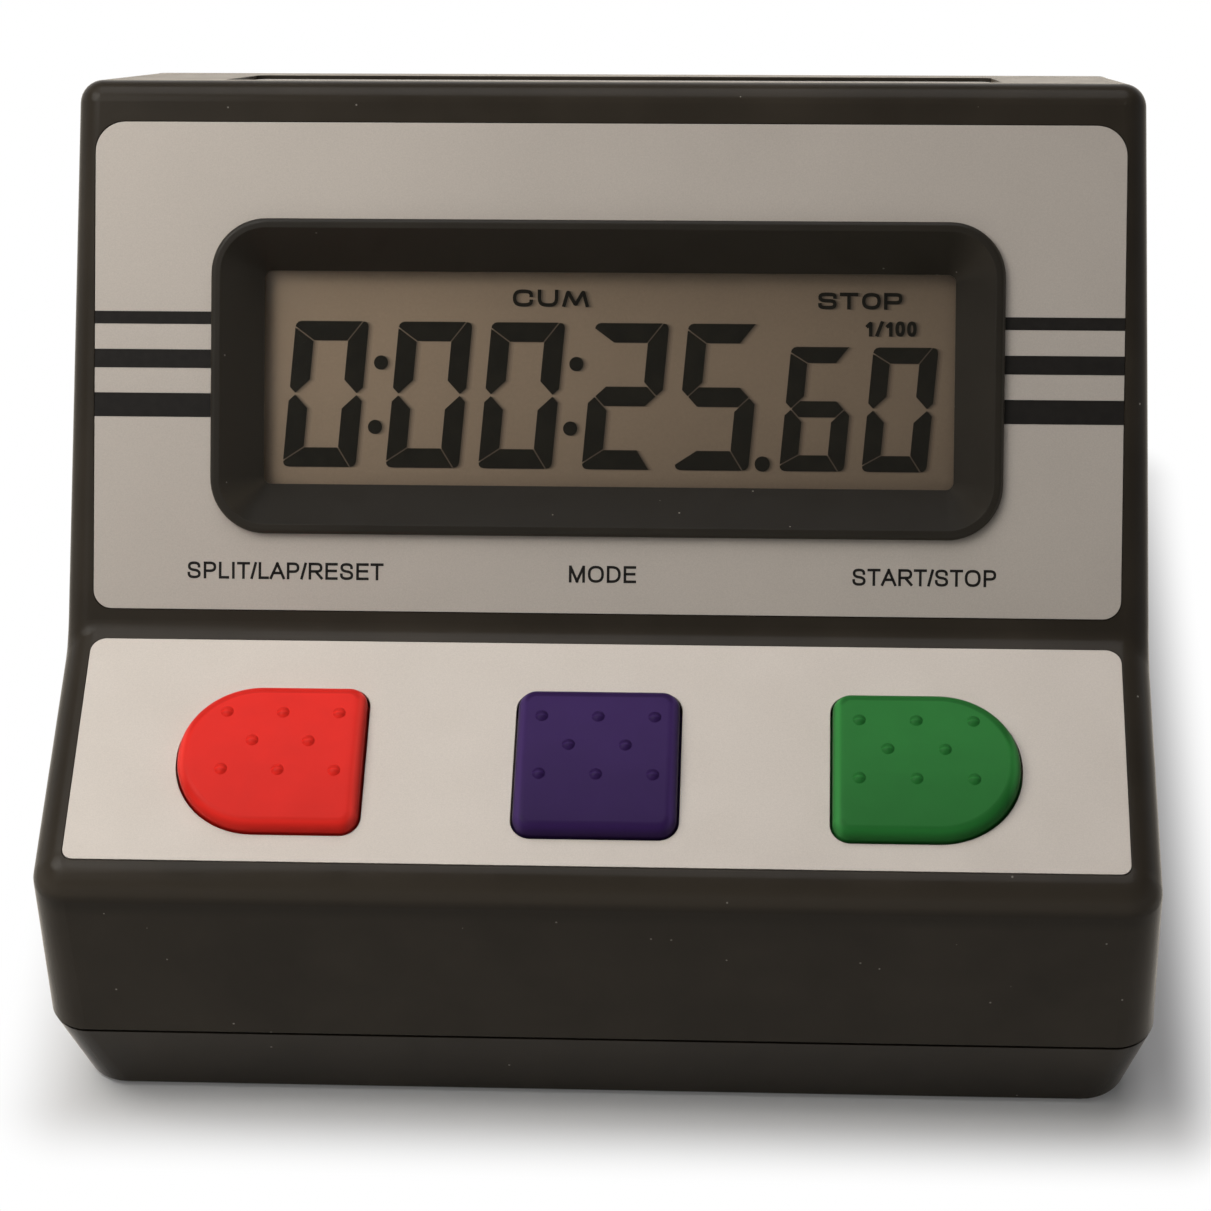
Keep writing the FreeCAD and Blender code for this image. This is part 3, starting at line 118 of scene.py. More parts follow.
class Tree:
    """The nodes of a material or of the world."""

    def __init__(self, owner, output):
        owner.use_nodes = True
        self.tree = owner.node_tree
        self.tree.nodes.clear()
        self.output = self.node(output)
        self.coordinates = self.node("TexCoord").outputs

    def feed(self, node, inputs):
        """Sets a node's inputs, each to a value or to the output of another node."""
        for name, value in inputs.items():
            if isinstance(value, bpy.types.NodeSocket):
                self.tree.links.new(value, node.inputs[name])
            else:
                node.inputs[name].default_value = value

    def node(self, kind, inputs=None, **settings):
        made = self.tree.nodes.new("ShaderNode" + kind)
        for name, value in settings.items():
            setattr(made, name, value)
        self.feed(made, inputs or {})
        return made

    def show(self, shader):
        """Makes a shader the one that is seen."""
        self.feed(self.output, {"Surface": shader.outputs[0]})

    def mixed(self, share, first, second):
        """A mix of two shaders."""
        return self.node("MixShader", {0: share, 1: first.outputs[0], 2: second.outputs[0]})

    def axes(self, vector):
        return self.node("SeparateXYZ", {"Vector": vector}).outputs

    def maths(self, operation, first, second=0):
        return self.node("Math", {0: first, 1: second}, operation=operation).outputs[0]

    def vector_maths(self, operation, first, second=(0, 0, 0)):
        return self.node("VectorMath", {0: first, 1: second}, operation=operation).outputs

    def span(self, value, low, high, at_low=0, at_high=1):
        """A value taken from one range to another, and kept within it."""
        inputs = {"Value": value, "From Min": low, "From Max": high, "To Min": at_low, "To Max": at_high}
        return self.node("MapRange", inputs).outputs[0]

    def between(self, share, first, second):
        """A mix of two plain values."""
        return self.node("Mix", {"Factor": share, "A": first, "B": second}).outputs["Result"]

    def blend(self, share, first, second):
        """A mix of two colours."""
        inputs = {MIX_SHARE: share, MIX_FIRST: first, MIX_SECOND: second}
        return self.node("Mix", inputs, data_type="RGBA").outputs[MIX_RESULT]


class Look(Tree):
    """A material, on object coordinates in metres. Grains, sizes and depths are in millimetres."""

    def __init__(self, name):
        self.material = bpy.data.materials.new(name)
        super().__init__(self.material, "OutputMaterial")
        self.place = self.coordinates["Object"]

    def surface(self, colour, roughness, specular, metallic=0.0, **sockets):
        """Starts the material's main shader with plain values."""
        inputs = {"Base Color": (*colour, 1), "Roughness": roughness, "Metallic": metallic}
        self.shader = self.node("BsdfPrincipled", {**inputs, "Specular IOR Level": specular, **sockets})
        self.show(self.shader)

    def noise(self, grain, detail=2.0, stretch=(1, 1, 1)):
        """Noise with features of about a grain's size."""
        spread = self.node("Mapping", {"Vector": self.place, "Scale": stretch})
        inputs = {"Vector": spread.outputs[0], "Scale": 1 / (grain * MM), "Detail": detail}
        return self.node("TexNoise", inputs).outputs["Fac"]

    def varied(self, noise, low, high):
        """A value that noise moves between two others."""
        return self.span(noise, NOISE_LOW, NOISE_HIGH, low, high)

    def uneven(self, roughness, grain, detail, less, more):
        """A roughness that noise makes a little less or more."""
        return self.varied(self.noise(grain, detail), roughness - less, roughness + more)

    def toned(self, colour, share, low, high):
        """A colour between two gains of itself."""
        return self.blend(share, dimmed(colour, low), dimmed(colour, high))

    def turned(self, tint, colour, changes):
        """A tint that changes with the way that the face turns, to paint light and shade by facing: axis,
        range of the normal, and gain.
        """
        facing = self.axes(self.coordinates["Normal"])
        for axis, low, high, gain in changes:
            tint = self.blend(self.span(facing[axis], low, high), tint, dimmed(colour, gain))
        return tint

    def specks(self, pitch, size, share):
        """Scattered round specks: one where a cell's own random number is below the share."""
        cells = self.node("TexVoronoi", {"Vector": self.place, "Scale": 1 / (pitch * MM)})
        near = self.maths("LESS_THAN", cells.outputs["Distance"], size / pitch)
        chance = self.node("SeparateColor", {"Color": cells.outputs["Color"]}).outputs[0]
        return self.maths("MULTIPLY", near, self.maths("LESS_THAN", chance, share))

    def relief(self, height, depth, edge=None):
        """Bumps of a depth, over edges that are eased by a radius."""
        inputs = {"Height": height, "Strength": 1.0, "Distance": depth * MM}
        if edge:
            eased = self.node("Bevel", {"Radius": edge * MM}, samples=BEVEL_SAMPLES)
            inputs["Normal"] = eased.outputs[0]
        self.feed(self.shader, {"Normal": self.node("Bump", inputs).outputs[0]})


# Moulded plastic: its sheen, the range of its handling patches and their gains, and its dust
SHEEN = {"Sheen Weight": 0.35, "Sheen Roughness": 0.16, "Sheen Tint": (1.0, 0.8, 0.58, 1)}
PATCH_RANGE = (0.35, 0.7)
PATCH_GAINS = (0.88, 1.14)
DUST_RANGE = (0.35, 0.6)
DUST_SHARES = (0.3, 0.8)
DUST_COLOUR = (0.4, 0.37, 0.32, 1)

# Painted light and shade on the front lip, which fade out behind it: a painted highlight along the lip and a
# painted shade line under it. Each has a gain and two pairs of heights in millimetres, between which it
# comes in from above and from below.
LIP_BACK = (-60.5, -58.0)
LIP_LIGHT_AND_SHADE = (
    (1.5, (39.9, 38.2), (36.0, 37.4)),
    (0.78, (37.2, 36.0), (33.8, 35.4)),
)

# Painted light and shade on the bezel's slopes: its left and upper slopes painted lighter and its lower
# slope darker. Each has the axis of the normal, the two values of it between which the change comes in, and
# the gain
BEZEL_PAINTED_LIGHT = (("X", 0.3, 0.65, 1.8), ("Z", 0.4, 0.05, 1.4), ("Z", 0.8, 0.95, 0.74))


def moulded_plastic(name, colour, roughness, specular, grain, depth, dust, painted_bands=(), gains=()):
    """Spark-textured plastic with handling patches, a little dust, and painted light and shade by height or
    by slope.
    """
    look = Look(name)
    look.surface(colour, roughness, specular, **SHEEN)
    patches = look.noise(grain=14.0, detail=3.0)
    tint = look.toned(colour, look.span(patches, *PATCH_RANGE), *PATCH_GAINS)
    axes = look.axes(look.place)
    # Painted highlight and painted shade bands on the front lip, by height
    for gain, *ends in painted_bands:
        share = look.span(axes["Y"], LIP_BACK[0] * MM, LIP_BACK[1] * MM, 1, 0)
        for low, high in ends:
            share = look.maths("MULTIPLY", share, look.span(axes["Z"], low * MM, high * MM))
        tint = look.blend(share, tint, dimmed(colour, gain))
    # Painted light and shade by slope, on the bezel
    tint = look.turned(tint, colour, gains)
    specks = look.specks(pitch=2.3, size=0.13, share=dust)
    dusty = look.maths("MULTIPLY", specks, look.span(patches, *DUST_RANGE, *DUST_SHARES))
    rubbed = look.uneven(roughness, grain=4.0, detail=4.0, less=0.05, more=0.06)
    look.feed(look.shader, {"Base Color": look.blend(dusty, tint, DUST_COLOUR), "Roughness": rubbed})
    look.relief(look.noise(grain), depth, edge=0.15)
    return look.material


# Printed film: gains of its flakes and of its clouds, and the limits of the two together
FLAKE_GAINS = (0.955, 1.045)
CLOUD_GAINS = (0.98, 1.02)
FILM_LIMITS = (0.9, 1.1)


def printed_film(name, colour, roughness, metallic, streak):
    """Silver ink under a satin film: fine flakes, a faint grain and an eased edge."""
    look = Look(name)
    look.surface(colour, roughness, specular=0.35, metallic=metallic)
    flakes = look.varied(look.noise(grain=0.16, detail=1.0), *FLAKE_GAINS)
    clouds = look.varied(look.noise(grain=22.0, stretch=streak), *CLOUD_GAINS)
    shade = look.maths("MULTIPLY", flakes, clouds)
    tint = look.toned(colour, look.span(shade, *FILM_LIMITS), *FILM_LIMITS)
    rubbed = look.uneven(roughness, grain=6.0, detail=3.0, less=0.03, more=0.04)
    look.feed(look.shader, {"Base Color": tint, "Roughness": rubbed})
    look.relief(look.noise(grain=0.35), depth=0.0025, edge=0.1)
    return look.material


# Buttons: the roughness, the plain gain, and the range of the normal's Y over which the painted light and
# shade of the crown, of the upper bevel and of the lower bevel come in: the upper crown and the lower bevel
# painted lighter, the upper bevel painted darker
BUTTON_ROUGHNESS = 0.34
BUTTON_GAIN = 0.93
CROWN_TURN = (-0.36, -0.22)
UPPER_BEVEL = ("Y", -0.18, -0.1, 0.87)
LOWER_BEVEL = ("Y", -0.5, -0.7, 1.08)

# Shades on a button: the largest share of the darker clouds and their gain, and the colour of its specks
BUTTON_CLOUDS = 0.12
BUTTON_CLOUD_GAIN = 0.5
SPECK_COLOUR = (0.6, 0.58, 0.55, 1)

# Painted highlights on a button's left and right rims: their width and the stretch over which they fade,
# both in millimetres, the two ranges of the normal's X over which they come and go, and their colour from
# the button's
RIM = 2.0
RIM_FADE = 0.9
RIM_COMES = (0.22, 0.5)
RIM_GOES = (0.97, 0.7)
RIM_LIFT = 0.012
RIM_GAIN = 1.5
RIM_PALEST = 0.85


def rim_highlights(look, node):
    """The share of painted highlight on the left and right rims of a button."""
    low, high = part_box(node)
    half = (high.x - low.x) / 2
    across = look.axes(look.place)["X"]
    apart = look.maths("ABSOLUTE", look.maths("SUBTRACT", across, (low.x + high.x) / 2))
    edge = look.span(apart, half - (RIM + RIM_FADE) * MM, half - RIM * MM)
    sideways = look.maths("ABSOLUTE", look.axes(look.coordinates["Normal"])["X"])
    sloping = look.maths("MULTIPLY", look.span(sideways, *RIM_COMES), look.span(sideways, *RIM_GOES))
    return look.maths("MULTIPLY", edge, sloping)


def button_plastic(name, node, colour, crown_light_gain):
    """Soft satin plastic: a painted highlight on the upper half of its crown, and painted highlights on its
    rims.
    """
    look = Look(name)
    look.surface(colour, BUTTON_ROUGHNESS, specular=0.05)
    # Painted light by facing: the upper crown lighter, the upper bevel darker
    crown = ("Y", *CROWN_TURN, crown_light_gain)
    tint = look.turned(dimmed(colour, BUTTON_GAIN), colour, (crown, UPPER_BEVEL))
    clouds = look.varied(look.noise(grain=5.0), 0, BUTTON_CLOUDS)
    tint = look.blend(clouds, tint, dimmed(colour, BUTTON_CLOUD_GAIN))
    # Painted light on the lower bevel
    tint = look.turned(tint, colour, (LOWER_BEVEL,))
    # The paler colour of the painted rim highlights
    paler = [min(RIM_PALEST, RIM_LIFT + RIM_GAIN * channel) for channel in colour]
    tint = look.blend(rim_highlights(look, node), tint, (*paler, 1))
    tint = look.blend(look.specks(pitch=2.6, size=0.09, share=0.035), tint, SPECK_COLOUR)
    rubbed = look.uneven(BUTTON_ROUGHNESS, grain=1.6, detail=3.0, less=0.04, more=0.05)
    look.feed(look.shader, {"Base Color": tint, "Roughness": rubbed})
    look.relief(look.noise(grain=0.5), depth=0.004, edge=0.12)
    return look.material


# The pane: its tint, the roughness of its haze, and what it mirrors seen squarely and at a flat angle
PANE_TINT = (0.95, 0.95, 0.93, 1)
PANE_HAZE = (0.05, 0.11)
PANE_MIRRORS = (0.02, 0.9)
PANE_FALLOFF = 5.0


def clear_pane(name):
    """A clear flat window: what is behind shows through, and the surroundings lie faintly over it."""
    look = Look(name)
    through = look.node("BsdfTransparent", {"Color": PANE_TINT})
    haze = look.varied(look.noise(grain=9.0, detail=3.0), *PANE_HAZE)
    shine = look.node("BsdfAnisotropic", {"Roughness": haze})
    slant = look.node("LayerWeight", {"Blend": 0.5}).outputs["Facing"]
    mirrored = look.span(look.maths("POWER", slant, PANE_FALLOFF), 0, 1, *PANE_MIRRORS)
    look.show(look.mixed(mirrored, through, shine))
    return look.material


# The display's field: its colour, its painted light from left to right and from the foot up, which makes it
# paler to the upper left, the gains of its clouds and of its film's cells, and the limits of them all
# together
DISPLAY_COLOUR = (0.297, 0.222, 0.166)
PAINTED_LIGHT_ACROSS = (1.13, 0.87)
PAINTED_LIGHT_UPWARDS = (0.88, 1.12)
FIELD_GAINS = (0.97, 1.03)
FIELD_LIMITS = (0.6, 1.4)


def display_glass(name, colour):
    """The greige field behind the segments: its film's fine cells, and painted light that makes it paler to
    the upper left.
    """
    look = Look(name)
    look.surface(colour, roughness=0.5, specular=0.15, metallic=0.5)
    clouds = look.noise(grain=18.0)
    fine = look.noise(grain=0.3, detail=1.0)
    axes = look.axes(look.place)
    low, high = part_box("lcd_glass")
    # Painted light: paler to the left and towards the top
    across = look.span(axes["X"], low.x, high.x, *PAINTED_LIGHT_ACROSS)
    upwards = look.span(axes["Z"], low.z, high.z, *PAINTED_LIGHT_UPWARDS)
    shade = look.maths("MULTIPLY", look.varied(clouds, *FIELD_GAINS), look.varied(fine, *FIELD_GAINS))
    shade = look.maths("MULTIPLY", shade, look.maths("MULTIPLY", across, upwards))
    tint = look.toned(colour, look.span(shade, *FIELD_LIMITS), *FIELD_LIMITS)
    look.feed(look.shader, {"Base Color": tint})
    look.relief(fine, depth=0.001)
    return look.material


# Plain finishes: the sizes of their patches and rubs in grains, the range of the patches, and the gains
# of both
PATCH_GRAINS = 12
RUB_GRAINS = 5
PLAIN_RANGE = (0.35, 0.65)
PLAIN_GAINS = (0.85, 1.12)
LESS_ROUGH, MORE_ROUGH = 0.85, 1.15


def plain_stuff(name, colour, roughness, metallic, grain, depth, specular=0.5):
    """A finish for the small and the hidden pieces."""
    look = Look(name)
    look.surface(colour, roughness, specular, metallic)
    patches = look.noise(grain * PATCH_GRAINS, detail=3.0)
    tint = look.toned(colour, look.span(patches, *PLAIN_RANGE), *PLAIN_GAINS)
    rough = min(1.0, roughness * MORE_ROUGH)
    rubbed = look.varied(look.noise(grain * RUB_GRAINS), roughness * LESS_ROUGH, rough)
    look.feed(look.shader, {"Base Color": tint, "Roughness": rubbed})
    look.relief(look.noise(grain), depth)
    return look.material


# Plain finishes by slot: colour, roughness, metallic share, and grain and depth in millimetres
PLAIN = {
    "reflector": ((0.6, 0.58, 0.52), 0.35, 0.9, 0.2, 0.002),
    "inner_plastic": ((0.5, 0.5, 0.48), 0.5, 0.0, 0.3, 0.004),
    "elastomer": ((0.12, 0.12, 0.12), 0.7, 0.0, 0.3, 0.004),
    "foot_rubber": ((0.018, 0.018, 0.018), 0.8, 0.0, 0.3, 0.01),
    "circuit_board": ((0.03, 0.16, 0.06), 0.35, 0.0, 0.4, 0.004),
    "component_black": ((0.02, 0.02, 0.02), 0.45, 0.0, 0.2, 0.003),
    "fastener_steel": ((0.55, 0.55, 0.55), 0.3, 1.0, 0.15, 0.002),
    "contact_steel": ((0.6, 0.6, 0.58), 0.28, 1.0, 0.15, 0.002),
    "cell_sleeve": ((0.1, 0.1, 0.11), 0.3, 0.3, 0.3, 0.002),
    "wire_red": ((0.5, 0.02, 0.02), 0.4, 0.0, 0.2, 0.002),
    "wire_black": ((0.02, 0.02, 0.02), 0.4, 0.0, 0.2, 0.002),
    "ribbon_grey": ((0.4, 0.4, 0.4), 0.45, 0.0, 0.2, 0.002),
}

# Materials of all the slots in the record
MATERIALS = {slot: plain_stuff(slot, *finish) for slot, finish in PLAIN.items()}
MATERIALS |= {
    "case_plastic": moulded_plastic(
        "case_plastic",
        (0.034, 0.028, 0.0208),
        roughness=0.21,
        specular=0.08,
        grain=0.3,
        depth=0.004,
        dust=0.22,
        painted_bands=LIP_LIGHT_AND_SHADE,
    ),
    "bezel_plastic": moulded_plastic(
        "bezel_plastic",
        (0.0225, 0.019, 0.0141),
        roughness=0.4,
        specular=0.15,
        grain=0.25,
        depth=0.005,
        dust=0.2,
        gains=BEZEL_PAINTED_LIGHT,
    ),
    "panel_film": printed_film("panel_film", (0.52, 0.468, 0.414), 0.42, metallic=0.12, streak=(1, 0.3, 1)),
    "plate_film": printed_film("plate_film", (0.5, 0.47, 0.43), 0.34, metallic=0.45, streak=(0.2, 1, 1)),
    "red_button": button_plastic("red_button", "reset_button", (0.76, 0.026, 0.018), crown_light_gain=1.05),
    "blue_button": button_plastic("blue_button", "mode_button", (0.032, 0.013, 0.0745), crown_light_gain=1.3),
    "green_button": button_plastic("green_button", "start_button", (0.0215, 0.158, 0.0308), crown_light_gain=1.21),
    "clear_window": clear_pane("clear_window"),
    "display_glass": display_glass("display_glass", DISPLAY_COLOUR),
}
PRINT_INK = plain_stuff("print_ink", (0.012, 0.0105, 0.009), 0.5, 0.0, 0.1, 0.001, specular=0.15)
SEGMENT_INK = plain_stuff("segment_ink", (0.0155, 0.0132, 0.0092), 0.5, 0.0, 0.2, 0.001, specular=0.05)


def dress_frame():
    """Gives each CAD piece the material of its slot in the record."""
    for subpart in frame["record"]["subparts"]:
        mesh = NODES[subpart["node"]].data
        mesh.materials.clear()
        mesh.materials.append(MATERIALS[subpart["material_slot"]])


# Half of a rubber dome's section, from the middle of its top down the outside and up the inside. Each
# point has its distance from the axis as a share of the base's radius, and its height as a share of the
# dome's height.
DOME_SECTION = (
    (0, 1),
    (0.5, 1),
    (0.57, 0.93),
    (0.6, 0.74),
    (0.72, 0.62),
    (0.89, 0.17),
    (0.96, 0.1),
    (1, 0),
    (0.83, 0),
    (0.65, 0.5),
    (0.43, 0.6),
    (0, 0.6),
)
DOME_SIDES = 40


def revolved(section, radius, tall):
    """Corners and faces of a section turned about the Z axis, on which it starts and ends."""
    corners = []
    faces = []
    rings = []
    for out, rise in section:
        sides = DOME_SIDES if out else 1
        rings.append(range(len(corners), len(corners) + sides))
        for k in range(sides):
            angle = 2 * math.pi * k / sides
            corners.append((out * radius * math.cos(angle), out * radius * math.sin(angle), rise * tall))
    for ring, following in zip(rings, rings[1:]):
        for k in range(DOME_SIDES):
            here, after = ((ring[j % len(ring)], following[j % len(following)]) for j in (k, k + 1))
            faces.append(list(dict.fromkeys((here[0], here[1], after[1], after[0]))))
    return corners, faces


def rubber_dome(key):
    """A hollow silicone dome in place of the plain cone."""
    node = key + "_dome"
    press = next(joint for joint in frame["joints"] if joint["name"] == key + "_press")
    up = -Vector(press["axis"])
    across = Vector((1, 0, 0))
    along = up.cross(across)
    cone = [corner.co for corner in NODES[node].data.vertices]
    spans = []
    for way in (across, along, up):
        places = [way.dot(corner) for corner in cone]
        spans.append((min(places), max(places)))
    radius = (spans[0][1] - spans[0][0]) / 2
    tall = spans[2][1] - spans[2][0]
    foot = across * sum(spans[0]) / 2 + along * sum(spans[1]) / 2 + up * spans[2][0]
    corners, faces = revolved(DOME_SECTION, radius, tall)
    mesh = bpy.data.meshes.new(key + "_rubber_dome")
    mesh.from_pydata(corners, [], faces)
    for face in mesh.polygons:
        face.use_smooth = True
    turn = Matrix((across, along, up)).transposed().to_4x4()
    mesh.transform(Matrix.Translation(foot) @ turn)
    mesh.materials.append(MATERIALS["elastomer"])
    thing = bpy.data.objects.new(key + "_rubber_dome", mesh)
    bpy.context.scene.collection.objects.link(thing)
    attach(thing, CASE)
    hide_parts(node)
    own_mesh(thing)


# Flat pieces that are drawn on a panel, in millimetres
class Drawing:
    """Prisms that stand on a panel and are gathered into one piece."""

    def __init__(self):
        self.corners = []
        self.faces = []

    def plate(self, outline, thickness):
        """A prism over an outline that runs counter-clockwise."""
        first = len(self.corners)
        count = len(outline)
        self.corners += [(x, y, thickness) for x, y in outline]
        self.corners += [(x, y, 0) for x, y in outline]
        self.faces.append([first + k for k in range(count)])
        self.faces.append([first + count + k for k in reversed(range(count))])
        for k in range(count):
            after = (k + 1) % count
            self.faces.append([first + k, first + count + k, first + count + after, first + after])

    def ribbon(self, line, width, thickness, closed=False):
        """A flat band along a line, mitred at its corners."""
        first = len(self.corners)
        count = len(line)
        points = [Vector(point) for point in line]
        for k, point in enumerate(points):
            ways = []
            if closed or k > 0:
                ways.append((point - points[k - 1]).normalized())
            if closed or k < count - 1:
                ways.append((points[(k + 1) % count] - point).normalized())
            way = sum(ways, Vector((0, 0))).normalized()
            side = Vector((-way.y, way.x)) * (width / 2 / way.dot(ways[0]))
            for end, height in ((side, thickness), (-side, thickness), (-side, 0), (side, 0)):
                self.corners.append((point.x + end.x, point.y + end.y, height))
        for k in range(count if closed else count - 1):
            here = first + 4 * k
            there = first + 4 * ((k + 1) % count)
            for a, b in ((0, 1), (1, 2), (2, 3), (3, 0)):
                self.faces.append([here + a, here + b, there + b, there + a])
        if not closed:
            last = first + 4 * (count - 1)
            self.faces.append([first + 3, first + 2, first + 1, first])
            self.faces.append([last, last + 1, last + 2, last + 3])

    def repeat(self, other, right, up, thickness):
        """A copy of another drawing, moved aside and of another thickness."""
        first = len(self.corners)
        self.corners += [(x + right, y + up, thickness if z else 0) for x, y, z in other.corners]
        self.faces += [[first + corner for corner in face] for face in other.faces]

    def piece(self, name, face, level, material, slot):
        """Makes the piece, at a level over a face and riding on the case."""
        mesh = bpy.data.meshes.new(name)
        mesh.from_pydata([Vector(corner) * MM for corner in self.corners], [], self.faces)
        mesh.transform(face @ Matrix.Translation((0, 0, level * MM)))
        mesh.materials.append(material)
        thing = bpy.data.objects.new(name, mesh)
        bpy.context.scene.collection.objects.link(thing)
        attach(thing, CASE)


def arc(centre, radius, start, end, steps):
    """Points of an arc between two angles in degrees."""
    x, y = centre
    angles = [math.radians(start + (end - start) * k / steps) for k in range(steps + 1)]
    return [(x + radius * math.cos(angle), y + radius * math.sin(angle)) for angle in angles]


# Ink on the display label: its thickness, and the heights of each stripe's lower and upper edge over the
# bezel's middle, which lies aside from the label's middle by an offset. The stripes run from the bezel
# to the label's ends.
INK = 0.02
LABEL_HALF_WIDTH = 64.9
BEZEL_HALF_WIDTH = 50.0
BEZEL_OFFSET = -1.2
STRIPES = ((6.5, 8.1), (0.95, 3.3), (-5.25, -2.22))


def stripes():
    for side, label in ((-1, "left"), (1, "right")):
        drawing = Drawing()
        left, right = sorted((side * BEZEL_HALF_WIDTH, side * LABEL_HALF_WIDTH))
        for low, high in STRIPES:
            low += BEZEL_OFFSET
            high += BEZEL_OFFSET
            drawing.plate([(left, low), (right, low), (right, high), (left, high)], INK)
        drawing.piece("stripes_" + label, DISPLAY_FACE, 0, PRINT_INK, "component_black")


def pen(*points, corner=0, closed=False):
    """A letter's stroke through points of a unit square, with its corners' radius in letter heights."""
    return corner, closed, points


# Strokes that several letters share
LEFT_SIDE = pen((0, 0), (0, 1))
RIGHT_SIDE = pen((1, 0), (1, 1))
SLASH = pen((0, 0), (1, 1))
HEAD_BAR = pen((0, 1), (1, 1))
MIDDLE_POST = pen((0.5, 1), (0.5, 0))
SQUARE = ((0, 0), (1, 0), (1, 1), (0, 1))

# Letters of the printed words: the space before, the width and the space after in letter heights, then
# the strokes
PRINTED = {
    "A": (0.0, 0.93, 0.0, [pen((0, 0), (0.5, 1)), pen((1, 0), (0.5, 1)), pen((0.24, 0.34), (0.76, 0.34))]),
    "D": (0.11, 0.83, 0.06, [LEFT_SIDE, pen((0, 1), (1, 1), (1, 0), (0, 0), corner=0.45)]),
    "E": (0.11, 0.75, 0.08, [pen((1, 1), (0, 1), (0, 0), (1, 0)), pen((0, 0.53), (0.93, 0.53))]),
    "I": (0.13, 0.14, 0.13, [LEFT_SIDE]),
    "L": (0.1, 0.63, 0.04, [pen((0, 1), (0, 0), (1, 0))]),
    "M": (0.1, 0.96, 0.1, [LEFT_SIDE, RIGHT_SIDE, pen((0.03, 0.97), (0.5, 0)), pen((0.97, 0.97), (0.5, 0))]),
    "O": (0.07, 0.96, 0.06, [pen(*SQUARE, corner=0.6, closed=True)]),
    "P": (0.11, 0.76, 0.06, [LEFT_SIDE, pen((0, 1), (1, 1), (1, 0.45), (0, 0.45), corner=0.27)]),
    "R": (0.11, 0.88, 0.02, [
        LEFT_SIDE,
        pen((0, 1), (0.94, 1), (0.94, 0.48), (0, 0.48), corner=0.25),
        pen((0.5, 0.46), (0.97, 0.02)),
    ]),
    "S": (0.06, 0.8, 0.07, [
        pen((0.96, 0.76), (0.96, 1), (0.03, 1), (0.03, 0.54), (1, 0.46), (1, 0), (0, 0), (0, 0.27),
            corner=0.4),
    ]),
    "T": (0.03, 0.79, 0.03, [HEAD_BAR, MIDDLE_POST]),
    "/": (0.0, 0.39, 0.0, [SLASH]),
}

# Letters of the display's words, written in the same way
DISPLAYED = {
    "C": (0.13, 1.14, 0.13, [pen((1, 0.7), (1, 1), (0, 1), (0, 0), (1, 0), (1, 0.26), corner=0.42)]),
    "U": (0.13, 1.17, 0.11, [pen((0, 1), (0, 0), (1, 0), (1, 1), corner=0.4)]),
    "M": (0.11, 1.5, 0.1, [pen((0, 0), (0.17, 1), (0.5, 0.02), (0.83, 1), (1, 0), corner=0.12)]),
    "S": (0.1, 1.1, 0.09, [
        pen((1, 0.8), (1, 1), (0, 1), (0, 0.53), (1, 0.5), (1, 0), (0, 0), (0, 0.2), corner=0.3),
    ]),
    "T": (0.09, 1.1, 0.11, [HEAD_BAR, MIDDLE_POST]),
    "O": (0.11, 1.13, 0.09, [pen(*SQUARE, corner=0.6, closed=True)]),
    "P": (0.09, 1.1, 0.1, [LEFT_SIDE, pen((0, 1), (1, 1), (1, 0.4), (0, 0.4), corner=0.26)]),
    "1": (0.1, 0.46, 0.1, [pen((0, 0.74), (0.95, 1), (0.95, 0), corner=0.1)]),
    "/": (0.09, 0.55, 0.06, [SLASH]),
    "0": (0.07, 0.66, 0.06, [pen(*SQUARE, corner=0.5, closed=True)]),
}

# A corner's curve: where its points lie from end to end, and how much of a side it may take, where
# another curve begins at the side's far end and where none does
CURVE_STEPS = (0.0, 0.17, 0.33, 0.5, 0.67, 0.83, 1.0)
SHARED_SIDE = 0.49
LAST_SIDE = 0.97


def softened(line, radius, closed):
    """A line whose corners are rounded, as far as the sides that they stand between allow."""
    count = len(line)
    result = []
    for k, point in enumerate(line):
        if radius == 0 or (not closed and k in (0, count - 1)):
            result.append(Vector(point))
            continue
        before, here, after = (Vector(line[(k + j) % count]) for j in (-1, 0, 1))
        ends = []
        for beside, last in ((before, not closed and k == 1), (after, not closed and k == count - 2)):
            side = beside - here
            most = side.length * (LAST_SIDE if last else SHARED_SIDE)
            ends.append(here + side.normalized() * min(radius, most))
        for t in CURVE_STEPS:
            result.append(ends[0] * (1 - t) ** 2 + here * 2 * t * (1 - t) + ends[1] * t ** 2)
    return result


def capped(line, reach):
    """A line that is longer at both ends."""
    start = line[0] + (line[0] - line[1]).normalized() * reach
    end = line[-1] + (line[-1] - line[-2]).normalized() * reach
    return [start] + line[1:-1] + [end]


def written(letters, alphabet, x_span, y_span, stroke, thickness):
    """A drawing of letters that fill a width and a height."""
    drawing = Drawing()
    height = y_span[1] - y_span[0]
    foot = y_span[0] + stroke / 2
    shapes = [alphabet[letter] for letter in letters]
    total = sum(before + width + after for before, width, after, strokes in shapes)
    total -= shapes[0][0] + shapes[-1][2]
    unit = (x_span[1] - x_span[0]) / total
    x = x_span[0] - shapes[0][0] * unit
    for before, width, after, strokes in shapes:
        x += before * unit
        wide = width * unit - stroke
        for corner, closed, points in strokes:
            spots = [(x + stroke / 2 + px * wide, foot + py * (height - stroke)) for px, py in points]
            line = softened(spots, corner * height, closed)
            drawing.ribbon(line if closed else capped(line, stroke / 2), stroke, thickness, closed)
        x += (width + after) * unit
    return drawing


